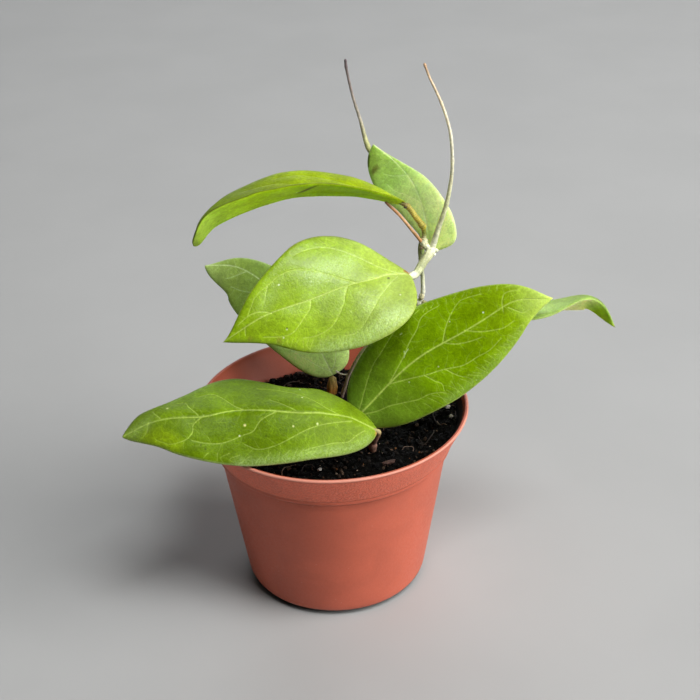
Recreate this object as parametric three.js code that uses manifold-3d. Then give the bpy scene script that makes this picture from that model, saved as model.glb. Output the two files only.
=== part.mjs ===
// A potted hoya: a small climbing houseplant with seven thick leaves, in a thin plastic nursery pot.
//
// Millimetres, +Z up. The origin is the middle of the pot's underside, on the surface it stands on.
// +X is to the right and +Y is away from someone who faces the front of the plant.
import * as THREE from 'three';
import Module from 'manifold-3d';
import { mergeVertices } from 'three/addons/utils/BufferGeometryUtils.js';

const wasm = await Module();
wasm.setup();

// ---- Driving dimensions -----------------------------------------------------------------------

// The clearance that touching pieces keep.
const GAP = 0.3;

// Pot: a rolled lip, a flared collar, a small step and a tapered wall with a rounded foot.
const RIM_RADIUS = 40;
const POT_HEIGHT = 57.6;
const LIP_WIDTH = 1.3;
const LIP_HEIGHT = 1.1;
const WALL = 1;
const COLLAR_HEIGHT = 11.7;
const COLLAR_TOP_RADIUS = RIM_RADIUS - 0.6;
const COLLAR_STEP = 0.7;
const WALL_TOP_RADIUS = 33.9;
const WALL_FOOT_RADIUS = 26.7;
const CORNER_RADIUS = 4.3;
const FLOOR = 1.4;
const POT_SIDES = 72;
const DRAIN_HOLES = 6;
const DRAIN_HOLE_RADIUS = 2.5;
const DRAIN_CIRCLE_RADIUS = 15;

// Soil: a plug that fills the pot to a few millimetres under the rim, banked up on one side. The
// bank starts and ends at these distances from the axis, in this direction from +X in degrees.
const SOIL_EDGE_Z = 48.6;
const SOIL_CROWN = 0.8;
const SOIL_RISE = 5;
const SOIL_RISE_START = 18;
const SOIL_RISE_END = 36;
const SOIL_RISE_ANGLE = 10;

// Leaves: how thick a blade is at its midrib, and how finely it is divided.
const BLADE_THICKNESS = 1.3;
const BLADE_ROWS = 14;
const BLADE_COLUMNS = 8;

// Stems: corners round a section.
const STEM_SIDES = 8;

// Each leaf follows its midrib from base to tip. Seen from its base with its upper face up, `left`
// and `right` are its two halves: half-width in mm, then how full it is near the base and how
// drawn out near the tip (the exponents of its outline), and how steeply that half folds up from
// the midrib, in degrees. `roll` turns the blade about its midrib at the base, middle and tip, in
// degrees. `cup` bends the margins down. `ripple` waves the right margin.
const LEAVES = {
  leaf_front_left: {
    midrib: [[12.8, -18, 59.2], [-6, -22, 68.7], [-25.7, -24, 69.2], [-45.2, -26, 70], [-57.2, -27, 64.7]],
    left: { width: 14, base: 0.56, tip: 0.9, fold: -13 },
    right: { width: 15, base: 0.58, tip: 0.91, fold: -19 },
    roll: [27, 27, 27],
    cup: -0.15,
    ripple: { height: 3.5, waves: 2.2, phase: 0.1 },
  },
  leaf_front_right: {
    midrib: [[6.5, -10.2, 58.1], [22.3, -8.3, 74.9], [36.7, -6, 83.6], [51, -4.5, 90.8], [62.3, -4, 92.8]],
    left: { width: 13, base: 0.47, tip: 1.07, fold: 6 },
    right: { width: 15.7, base: 0.57, tip: 1.14, fold: 5 },
    roll: [-56, -57, -63],
    cup: -0.15,
  },
  leaf_centre: {
    midrib: [[23, 2.5, 97.5], [7, -3, 98], [-6, -7, 95], [-18, -10, 92], [-29.5, -12, 85.5]],
    left: { width: 18, base: 0.36, tip: 1, fold: 10 },
    right: { width: 17, base: 0.81, tip: 1.45, fold: 3 },
    roll: [22, 55, 64],
    cup: -0.18,
  },
  leaf_top_left: {
    midrib: [[21.8, 12, 115.5], [5, 9, 120], [-12, 6, 120.5], [-29.5, 2, 115.7], [-36.5, -1, 109.5]],
    left: { width: 12.8, base: 0.8, tip: 0.55, fold: 40 },
    right: { width: 12.2, base: 0.93, tip: 0.98, fold: 20 },
    roll: [0, -4, -16],
    cup: -0.1,
  },
  leaf_top_rear: {
    midrib: [[29.7, 15, 98.5], [28.4, 21, 106.5], [25.7, 28, 113.3], [20.7, 34, 118], [13.7, 39, 122.5]],
    left: { width: 10.3, base: 0.95, tip: 0.53, fold: 7 },
    right: { width: 8.7, base: 0.25, tip: 1.97, fold: -3 },
    roll: [54, 55, 55],
    cup: -0.15,
  },
  leaf_rear_left: {
    midrib: [[0.2, 18.5, 56], [-7, 22, 70.3], [-16.8, 27, 80.6], [-27, 31, 86.8], [-38, 33.2, 87]],
    left: { width: 13.4, base: 0.5, tip: 0.66, fold: 6 },
    right: { width: 9, base: 0.31, tip: 1.2, fold: 5 },
    roll: [55, 54, 55],
    cup: -0.12,
  },
  leaf_far_right: {
    midrib: [[33.7, 12, 83.8], [47.5, 8, 86.6], [62, 6, 86.5], [74.5, 4, 88.5], [81.6, 2, 79.5]],
    left: { width: 9.6, base: 0.7, tip: 1.1, fold: -30 },
    right: { width: 10.4, base: 0.84, tip: 1.5, fold: 2 },
    roll: [3, 6, 66],
    cup: -0.15,
  },
};

// Each stem is a round shoot through `points`, with its radius at each of them.
const STEMS = {
  main_vine: {
    points: [
      [2.5, 16, 41], [2.7, 15.8, 49.5], [3.9, 15.6, 54], [5.3, 15.4, 58.5], [9.4, 15, 66.5],
      [17.5, 14.5, 75.5], [24, 14.2, 81], [26.7, 14, 84.6], [27.4, 14, 90], [27.3, 14, 96], [28.8, 14, 102],
    ],
    radii: [0.7, 0.55, 0.5, 0.5, 0.5, 0.5, 0.55, 0.85, 0.6, 0.65, 1.5],
  },
  front_stem: {
    points: [[11.8, -12, 40], [11.5, -12.8, 49.3], [11.3, -13.4, 52.7]],
    radii: [1.1, 1, 1.2],
  },
  rear_stem: {
    points: [[-0.8, 15.5, 40], [-0.5, 16.6, 49], [-0.2, 17.6, 53], [0.1, 18.2, 55]],
    radii: [1.5, 1.55, 1.5, 1.1],
  },
  petiole_front_left: {
    points: [[11.7, -14.3, 53.4], [12.3, -16.3, 56], [12.9, -17.7, 58.4]],
    radii: [0.8, 0.85, 0.8],
  },
  petiole_front_right: {
    points: [[10.5, -12.5, 53.4], [8.9, -11.6, 55.5], [7.3, -10.5, 56.9]],
    radii: [0.9, 0.8, 0.7],
  },
  petiole_centre: {
    points: [[27.9, 11.7, 100.8], [27, 9.8, 99.4], [25.3, 6.8, 98], [23.5, 3.2, 97.5]],
    radii: [1.2, 1.1, 1.1, 0.8],
  },
  petiole_top_left: {
    points: [[27.4, 14, 103], [26.6, 13.7, 106.3], [24.3, 12.8, 110], [22.7, 12.3, 113.2], [22, 12.1, 115]],
    radii: [0.9, 0.9, 0.8, 0.8, 0.6],
  },
  petiole_top_rear: {
    points: [[28.7, 15.2, 97], [29.1, 15.3, 97.4], [29.5, 15.3, 97.8]],
    radii: [0.5, 0.45, 0.35],
  },
  petiole_far_right: {
    points: [[27.4, 13.8, 82.7], [30.5, 13, 82.2], [33.4, 12.1, 82.9]],
    radii: [0.6, 0.6, 0.5],
  },
  right_tendril: {
    points: [
      [29.8, 13.9, 102.4], [31.2, 13.5, 106.3], [32.3, 13, 110.4], [33.5, 12.5, 116.4], [34.5, 12, 121.3],
      [34.7, 11.5, 128.2], [34.3, 11, 134.8], [33, 11, 140.5], [31.5, 11, 144.8], [29.9, 11.5, 148.4],
      [28.3, 12, 151.7], [26.9, 12.5, 155.5],
    ],
    radii: [1, 0.9, 0.75, 0.65, 0.75, 0.5, 0.45, 0.42, 0.4, 0.38, 0.35, 0.45],
  },
  left_tendril: {
    points: [
      [27.4, 15.4, 96.6], [27.4, 19, 97.3], [26.6, 28, 101.3], [23, 39, 106], [17.2, 44, 112.2], [13.7, 46, 116],
      [11.8, 46, 120.2], [10, 46, 127.6], [7.9, 46, 135], [6.3, 46, 142.8], [6, 46, 146.1],
    ],
    radii: [0.6, 0.6, 0.6, 0.6, 0.6, 0.65, 0.7, 0.5, 0.42, 0.4, 0.35],
  },
  aerial_root: {
    points: [
      [26.2, 13.3, 103], [23.2, 12.3, 107.6], [20.1, 11.4, 112.1], [17.2, 10.7, 115.4], [16.5, 10.5, 116.2],
    ],
    radii: [0.45, 0.4, 0.38, 0.35, 0.3],
  },
  surface_rootlet: {
    points: [[1.1, 17.8, 57.9], [2.6, 17, 57.2], [4.2, 16.6, 57.2], [5.5, 16.6, 57.6]],
    radii: [0.3, 0.25, 0.25, 0.3],
  },
};

// The stems that stand in a socket in the soil.
const ROOTED_STEMS = ['main_vine', 'front_stem', 'rear_stem'];

// Pieces that lie loose on the soil: place, size along X, Y and Z, and turn about +Z in degrees.
const SURFACE_BITS = {
  bark_chip: { at: [15.8, -20.5], size: [5.4, 2.6, 1.8], turn: 25 },
  perlite_grain_1: { at: [-3.8, -23], size: [1.6, 1.4, 1.3], turn: 10 },
  perlite_grain_2: { at: [34, 1.5], size: [1.9, 1.6, 1.4], turn: 50 },
  perlite_grain_3: { at: [34.6, -3.5], size: [1.5, 1.5, 1.3], turn: 80 },
};

// ---- Materials --------------------------------------------------------------------------------

function finish(color, roughness) {
  return new THREE.MeshStandardMaterial({ color, roughness, metalness: 0 });
}

const MATERIALS = {
  pot: finish(0xb3593f, 0.55),
  soil: finish(0x17120f, 0.95),
  blade: finish(0x6f9a1f, 0.35),
  stem: finish(0xa3a06a, 0.5),
  rootstock: finish(0x8a5a26, 0.7),
  bark: finish(0x7a4a2c, 0.9),
  perlite: finish(0xe2ddd2, 0.9),
};

const STEM_MATERIALS = {
  rear_stem: MATERIALS.rootstock,
  front_stem: MATERIALS.rootstock,
  aerial_root: MATERIALS.rootstock,
};

// ---- Solids -----------------------------------------------------------------------------------

function triangleMesh(positions, triangles) {
  const geometry = new THREE.BufferGeometry();
  geometry.setAttribute('position', new THREE.Float32BufferAttribute(positions, 3));
  geometry.setIndex(triangles);
  return geometry;
}

// Merges equal vertices and drops the triangles that a lathe folds up on its axis.
function weld(geometry) {
  const bare = geometry.clone();
  bare.deleteAttribute('normal');
  bare.deleteAttribute('uv');
  const merged = mergeVertices(bare, 1e-5);
  const index = Array.from(merged.index.array);
  const kept = [];
  for (let i = 0; i < index.length; i += 3) {
    const [a, b, c] = index.slice(i, i + 3);
    if (a !== b && b !== c && c !== a) kept.push(a, b, c);
  }
  merged.setIndex(kept);
  return merged;
}

function toSolid(geometry) {
  const welded = weld(geometry);
  const vertProperties = new Float32Array(welded.attributes.position.array);
  const triVerts = new Uint32Array(welded.index.array);
  return new wasm.Manifold(new wasm.Mesh({ numProp: 3, vertProperties, triVerts }));
}

function fromSolid(solid) {
  const mesh = solid.getMesh();
  return triangleMesh(Array.from(mesh.vertProperties), Array.from(mesh.triVerts));
}

// Turns a profile of [radius, height] pairs, from axis to axis, about +Z.
function revolve(profile, sides) {
  const points = profile.map(([radius, height]) => new THREE.Vector2(radius, height));
  const geometry = new THREE.LatheGeometry(points, sides);
  geometry.rotateX(Math.PI / 2);
  return geometry;
}

function curveThrough(points) {
  return new THREE.CatmullRomCurve3(points.map((p) => new THREE.Vector3(...p)), false, 'catmullrom', 0.5);
}

// A value of a list that is spread evenly over t = 0 to 1, between its entries in a straight line.
function along(values, t) {
  const place = t * (values.length - 1);
  const index = Math.min(Math.floor(place), values.length - 2);
  return THREE.MathUtils.lerp(values[index], values[index + 1], place - index);
}

// A round shoot along a curve: one ring of corners at each step, and a fan over each end.
function shoot({ points, radii }, extraRadius = 0) {
  const curve = curveThrough(points);
  const steps = Math.max(6, (points.length - 1) * 3);
  const frames = curve.computeFrenetFrames(steps);
  const positions = [];
  for (let i = 0; i <= steps; i += 1) {
    const centre = curve.getPointAt(i / steps);
    const radius = along(radii, curve.getUtoTmapping(i / steps)) + extraRadius;
    for (let side = 0; side < STEM_SIDES; side += 1) {
      const angle = (2 * Math.PI * side) / STEM_SIDES;
      const corner = centre.clone();
      corner.addScaledVector(frames.normals[i], radius * Math.cos(angle));
      corner.addScaledVector(frames.binormals[i], radius * Math.sin(angle));
      positions.push(...corner.toArray());
    }
  }
  const start = positions.length / 3;
  positions.push(...curve.getPointAt(0).toArray(), ...curve.getPointAt(1).toArray());
  const triangles = [];
  const last = steps * STEM_SIDES;
  for (let side = 0; side < STEM_SIDES; side += 1) {
    const next = (side + 1) % STEM_SIDES;
    for (let i = 0; i < steps; i += 1) {
      const here = i * STEM_SIDES;
      const there = here + STEM_SIDES;
      triangles.push(here + side, here + next, there + next);
      triangles.push(here + side, there + next, there + side);
    }
    triangles.push(start, next, side);
    triangles.push(start + 1, last + side, last + next);
  }
  return triangleMesh(positions, triangles);
}

// ---- Pot and soil -----------------------------------------------------------------------------

const COLLAR_FOOT_Z = POT_HEIGHT - COLLAR_HEIGHT;
const COLLAR_TOP_Z = POT_HEIGHT - LIP_HEIGHT;
const LIP_ROLL = LIP_HEIGHT / 2;
const LIP_ROLL_Z = POT_HEIGHT - LIP_ROLL;
const COLLAR_FOOT_RADIUS = WALL_TOP_RADIUS + COLLAR_STEP;

// Radius of the wall's outer face, below the collar.
function wallRadius(z) {
  return THREE.MathUtils.lerp(WALL_FOOT_RADIUS, WALL_TOP_RADIUS, z / COLLAR_FOOT_Z);
}

// Radius of the pot's inner face, the wall's and then the collar's.
function innerRadius(z) {
  if (z <= COLLAR_FOOT_Z) return wallRadius(z) - WALL;
  const t = (z - COLLAR_FOOT_Z) / (LIP_ROLL_Z - COLLAR_FOOT_Z);
  return THREE.MathUtils.lerp(wallRadius(COLLAR_FOOT_Z) - WALL, RIM_RADIUS - LIP_WIDTH, t);
}

function arc(centreRadius, centreZ, radius, fromDegrees, toDegrees, steps) {
  const points = [];
  for (let i = 0; i <= steps; i += 1) {
    const angle = THREE.MathUtils.degToRad(THREE.MathUtils.lerp(fromDegrees, toDegrees, i / steps));
    points.push([centreRadius + radius * Math.cos(angle), centreZ + radius * Math.sin(angle)]);
  }
  return points;
}

function potProfile() {
  const cornerCentre = wallRadius(CORNER_RADIUS) - CORNER_RADIUS;
  return [
    [0, 0],
    ...arc(cornerCentre, CORNER_RADIUS, CORNER_RADIUS, -90, -10, 6),
    [wallRadius(COLLAR_FOOT_Z), COLLAR_FOOT_Z],
    [COLLAR_FOOT_RADIUS, COLLAR_FOOT_Z + COLLAR_STEP],
    [COLLAR_TOP_RADIUS, COLLAR_TOP_Z],
    ...arc(RIM_RADIUS - LIP_ROLL, LIP_ROLL_Z, LIP_ROLL, -60, 90, 5),
    ...arc(RIM_RADIUS - LIP_WIDTH + LIP_ROLL, LIP_ROLL_Z, LIP_ROLL, 90, 180, 3),
    [innerRadius(COLLAR_FOOT_Z), COLLAR_FOOT_Z],
    ...arc(cornerCentre, CORNER_RADIUS, CORNER_RADIUS - FLOOR, -10, -90, 4),
    [0, FLOOR],
  ];
}

function drainHole(index) {
  const angle = (2 * Math.PI * index) / DRAIN_HOLES;
  const hole = new THREE.CylinderGeometry(DRAIN_HOLE_RADIUS, DRAIN_HOLE_RADIUS, 4 * FLOOR, 16);
  hole.rotateX(Math.PI / 2);
  hole.translate(DRAIN_CIRCLE_RADIUS * Math.cos(angle), DRAIN_CIRCLE_RADIUS * Math.sin(angle), 0);
  return toSolid(hole);
}

function nurseryPot() {
  let solid = toSolid(revolve(potProfile(), POT_SIDES));
  for (let i = 0; i < DRAIN_HOLES; i += 1) {
    solid = solid.subtract(drainHole(i));
  }
  return fromSolid(solid);
}

// Height of the soil's crown at a distance from the pot's axis, without the bank.
function crownHeight(radius) {
  const edge = innerRadius(SOIL_EDGE_Z);
  return SOIL_EDGE_Z + SOIL_CROWN * Math.max(0, 1 - (radius / edge) ** 2);
}

// How much higher the bank makes the soil.
function soilRise(x, y) {
  const angle = THREE.MathUtils.degToRad(SOIL_RISE_ANGLE);
  const distance = x * Math.cos(angle) + y * Math.sin(angle);
  return SOIL_RISE * THREE.MathUtils.smoothstep(distance, SOIL_RISE_START, SOIL_RISE_END);
}

function soilHeight(x, y) {
  return crownHeight(Math.hypot(x, y)) + soilRise(x, y);
}

function soilProfile() {
  const cornerCentre = wallRadius(CORNER_RADIUS) - CORNER_RADIUS;
  const cornerRadius = CORNER_RADIUS - FLOOR - GAP;
  const edge = innerRadius(SOIL_EDGE_Z) - GAP;
  return [
    [0, FLOOR + GAP],
    ...arc(cornerCentre, CORNER_RADIUS, cornerRadius, -90, -10, 4),
    [innerRadius(COLLAR_FOOT_Z) - GAP, COLLAR_FOOT_Z],
    [edge, SOIL_EDGE_Z],
    ...[0.9, 0.75, 0.6, 0.4].map((part) => [edge * part, crownHeight(edge * part)]),
    [0, crownHeight(0)],
  ];
}

// Raises the plug's top where the soil is banked, and keeps its edge just clear of the pot.
function bankUp(geometry) {
  const position = geometry.getAttribute('position');
  for (let i = 0; i < position.count; i += 1) {
    const [x, y, z] = [position.getX(i), position.getY(i), position.getZ(i)];
    if (z < SOIL_EDGE_Z - 0.01) continue;
    const radius = Math.hypot(x, y);
    const raised = z + soilRise(x, y);
    const atEdge = radius > innerRadius(SOIL_EDGE_Z) - GAP - 0.01;
    const scale = atEdge ? (innerRadius(raised) - GAP) / radius : 1;
    position.setXYZ(i, x * scale, y * scale, raised);
  }
  return geometry;
}

// A stem's socket starts a little under the stem's own lower end.
function socketOf({ points, radii }) {
  const [[x, y, z], ...rest] = points;
  return { points: [[x, y, z - GAP], ...rest], radii };
}

function pottingSoil() {
  let solid = toSolid(bankUp(revolve(soilProfile(), POT_SIDES)));
  for (const name of ROOTED_STEMS) {
    solid = solid.subtract(toSolid(shoot(socketOf(STEMS[name]), GAP)));
  }
  return fromSolid(solid);
}

// A loose bit lies on the soil: a faceted pebble whose lowest corner is just clear of the surface.
function surfaceBit({ at, size, turn }) {
  const geometry = new THREE.IcosahedronGeometry(0.5, 1);
  geometry.scale(...size);
  geometry.rotateZ(THREE.MathUtils.degToRad(turn));
  geometry.translate(at[0], at[1], soilHeight(...at) + GAP + size[2] / 2);
  return weld(geometry);
}

// ---- Leaves -----------------------------------------------------------------------------------

// A quadratic through the values at the base, the middle and the tip.
function alongBlade([base, middle, tip], t) {
  return base * (1 - t) * (1 - 2 * t) + middle * 4 * t * (1 - t) + tip * t * (2 * t - 1);
}

// The outline of half a leaf: 0 at the base and the tip, and 1 where it is widest.
function outline(t, base, tip) {
  const widest = base / (base + tip);
  return (t ** base * (1 - t) ** tip) / (widest ** base * (1 - widest) ** tip);
}

// The point of a leaf's middle surface at t along its midrib and v across it, from -1 at the left
// margin to 1 at the right, with the blade's upward direction there.
function bladePoint(leaf, curve, t, v) {
  const ahead = curve.getPoint(Math.min(t + 0.001, 1));
  const tangent = ahead.sub(curve.getPoint(Math.max(t - 0.001, 0))).normalize();
  const level = tangent.clone().cross(new THREE.Vector3(0, 0, 1)).normalize();
  const up = level.clone().cross(tangent);
  const roll = THREE.MathUtils.degToRad(alongBlade(leaf.roll, t));
  const side = level.clone().multiplyScalar(Math.cos(roll)).addScaledVector(up, Math.sin(roll));
  const normal = up.clone().multiplyScalar(Math.cos(roll)).addScaledVector(level, -Math.sin(roll));
  const half = v < 0 ? leaf.left : leaf.right;
  let width = half.width * outline(t, half.base, half.tip);
  if (leaf.ripple && v > 0) {
    const { height, waves, phase } = leaf.ripple;
    width += height * Math.sin(2 * Math.PI * (waves * t + phase)) * outline(t, 0.5, 0.5);
  }
  const fold = THREE.MathUtils.degToRad(half.fold);
  const out = Math.abs(v) * width;
  const point = curve.getPoint(t);
  point.addScaledVector(side, Math.sign(v) * out * Math.cos(fold));
  point.addScaledVector(normal, out * Math.sin(fold) + width * leaf.cup * v * v);
  return { point, normal };
}

// A blade is one closed shell: its two faces meet at the margins, the base and the tip.
function blade(leaf) {
  const curve = curveThrough(leaf.midrib);
  const positions = [];
  const faces = [[], []];
  for (let row = 0; row <= BLADE_ROWS; row += 1) {
    const t = (1 - Math.cos((Math.PI * row) / BLADE_ROWS)) / 2;
    const atEnd = row === 0 || row === BLADE_ROWS;
    for (let column = 0; column <= BLADE_COLUMNS; column += 1) {
      const v = (2 * column) / BLADE_COLUMNS - 1;
      const { point, normal } = bladePoint(leaf, curve, t, v);
      const fullness = atEnd ? 0 : Math.min(1, 3 * Math.sin(Math.PI * t));
      const thickness = BLADE_THICKNESS * Math.sqrt(1 - v * v) * fullness;
      for (const face of [0, 1]) {
        const offset = (face === 0 ? 0.5 : -0.5) * thickness;
        faces[face].push(positions.length / 3);
        positions.push(...point.clone().addScaledVector(normal, offset).toArray());
      }
    }
  }
  const triangles = [];
  for (let row = 0; row < BLADE_ROWS; row += 1) {
    for (let column = 0; column < BLADE_COLUMNS; column += 1) {
      const a = row * (BLADE_COLUMNS + 1) + column;
      const b = a + 1;
      const c = b + BLADE_COLUMNS + 1;
      const d = c - 1;
      const [top, bottom] = faces;
      triangles.push(top[a], top[b], top[c], top[a], top[c], top[d]);
      triangles.push(bottom[a], bottom[c], bottom[b], bottom[a], bottom[d], bottom[c]);
    }
  }
  return fromSolid(toSolid(triangleMesh(positions, triangles)));
}

// ---- The plant in its pot ---------------------------------------------------------------------

function named(name, geometry, material) {
  const mesh = new THREE.Mesh(geometry, material);
  mesh.name = name;
  return mesh;
}

function pottedHoya() {
  const group = new THREE.Group();
  group.add(named('nursery_pot', nurseryPot(), MATERIALS.pot));
  group.add(named('potting_soil', pottingSoil(), MATERIALS.soil));
  for (const [name, stem] of Object.entries(STEMS)) {
    group.add(named(name, shoot(stem), STEM_MATERIALS[name] ?? MATERIALS.stem));
  }
  for (const [name, leaf] of Object.entries(LEAVES)) {
    group.add(named(name, blade(leaf), MATERIALS.blade));
  }
  for (const [name, bit] of Object.entries(SURFACE_BITS)) {
    const material = name === 'bark_chip' ? MATERIALS.bark : MATERIALS.perlite;
    group.add(named(name, surfaceBit(bit), material));
  }
  return group;
}

export default pottedHoya();
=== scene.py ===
import math

import bpy
import numpy as np
from mathutils import Matrix, Vector, geometry, kdtree


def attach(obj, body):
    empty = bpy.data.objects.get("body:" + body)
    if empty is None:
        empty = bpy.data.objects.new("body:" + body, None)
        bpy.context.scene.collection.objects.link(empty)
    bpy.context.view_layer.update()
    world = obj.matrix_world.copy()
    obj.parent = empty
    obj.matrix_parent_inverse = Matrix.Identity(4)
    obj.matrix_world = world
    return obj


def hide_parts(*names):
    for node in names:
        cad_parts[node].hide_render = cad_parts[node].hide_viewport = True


# A potted hoya. The tables below are in millimetres, in the part's own frame: +Z up, the origin in
# the middle of the pot's underside, +X to the right of someone who faces the front of the plant.

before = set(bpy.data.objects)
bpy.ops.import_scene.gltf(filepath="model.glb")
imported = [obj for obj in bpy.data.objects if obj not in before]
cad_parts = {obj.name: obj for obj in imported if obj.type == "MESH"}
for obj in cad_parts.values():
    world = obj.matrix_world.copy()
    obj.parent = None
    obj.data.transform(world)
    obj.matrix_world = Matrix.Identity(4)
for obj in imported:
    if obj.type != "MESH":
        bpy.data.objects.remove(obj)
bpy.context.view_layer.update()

MM = 0.001

# ---- Camera ------------------------------------------------------------------------------------

CAMERA_TARGET = (5.5, 0.0, 75.3)
CAMERA_DISTANCE = 401.0
CAMERA_ELEVATION = 29.8
CAMERA_ROLL = -1.25
CAMERA_LENS = 72.0
CAMERA_SENSOR = 36.0

# ---- Light -------------------------------------------------------------------------------------

LIGHT_TARGET = (5.0, 0.0, 70.0)
# Name, azimuth and elevation in degrees, distance and size in metres, watts and colour.
LIGHTS = [
    ("key", 70, 31, 1.8, (1.3, 1.7), 43.5, (0.98, 0.98, 0.98)),
    ("overhead", 36, 66, 1.5, (0.5, 0.5), 16.0, (0.95, 0.98, 1.0)),
    ("window", 174, 30, 1.5, (1.6, 0.7), 8.0, (0.92, 0.96, 1.0)),
]
WORLD_STRENGTH = 0.036
WORLD_COLOUR = (1.0, 0.95, 0.9, 1)
FLOOR_REACH = 4000.0
FLOOR_COLOUR = "a3a2a0"

# ---- Pot and soil ------------------------------------------------------------------------------

RIM_RADIUS = 40.0
POT_HEIGHT = 57.6
LIP_WIDTH = 1.15
LIP_HEIGHT = 0.85
WALL = 1.0
COLLAR_HEIGHT = 11.7
COLLAR_TOP_RADIUS = RIM_RADIUS - 0.6
COLLAR_STEP = 1.2
WALL_TOP_RADIUS = 33.9
WALL_FOOT_RADIUS = 26.7
CORNER_RADIUS = 4.3
FLOOR = 1.4
COLLAR_FOOT_Z = POT_HEIGHT - COLLAR_HEIGHT
# Outline of the groove and of the ledge under the collar, as (out, up) from the collar's foot: the
# groove is measured out from the wall, and the ledge from COLLAR_STEP beyond it.
GROOVE = [(-0.12, -0.5), (0.02, -0.14)]
LEDGE = [(-0.3, 0.02), (-0.04, 0.2), (0.08, 0.55), (0.02, 0.95), (0.1, 1.35), (0.26, 1.75)]
LIP_ROLL = LIP_HEIGHT / 2
LIP_ROLL_Z = POT_HEIGHT - LIP_ROLL
POT_SIDES = 240
DRAIN_HOLES = 6
DRAIN_HOLE_RADIUS = 2.5
DRAIN_CIRCLE_RADIUS = 15.0
HOLE_SIDES = 32
# Half of how much the rim is drawn in on two sides, as a part of its radius, and the direction in
# radians in which it isn't.
POT_WARP = 0.004
POT_WARP_TURN = 0.9
POT_COLOUR = "c46148"
# Colour and strength of a painted highlight along the top of the lip.
LIP_PAINTED_HIGHLIGHT_COLOUR = "f0c4b0"
LIP_PAINTED_HIGHLIGHT_STRENGTH = 0.32
# How much lighter the pebbled collar is painted: painted light, making up for the light it loses by facing a
# little downwards.
COLLAR_PAINTED_LIGHT = 1.3
# How dark the groove under the collar's ledge is painted: painted shade.
GROOVE_PAINTED_SHADE = 0.5
# How much darker the pot's inside is painted: painted shade.
INSIDE_PAINTED_SHADE = 0.72

SOIL_EDGE_Z = 48.6
SOIL_RISE = 5.0
SOIL_RISE_START = 18.0
SOIL_RISE_END = 36.0
SOIL_RISE_ANGLE = 10.0
SOIL_CROWN = 0.8
SOIL_GAP = 0.15
SOIL_COLOUR = "050403"
SOIL_SIDES = 300
SOIL_RINGS = 96
# Height in mm and size in mm of the soil's hollows and of its clods.
SOIL_HOLLOWS = (0.75, 7)
SOIL_CLODS = (0.4, 1.6)
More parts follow.
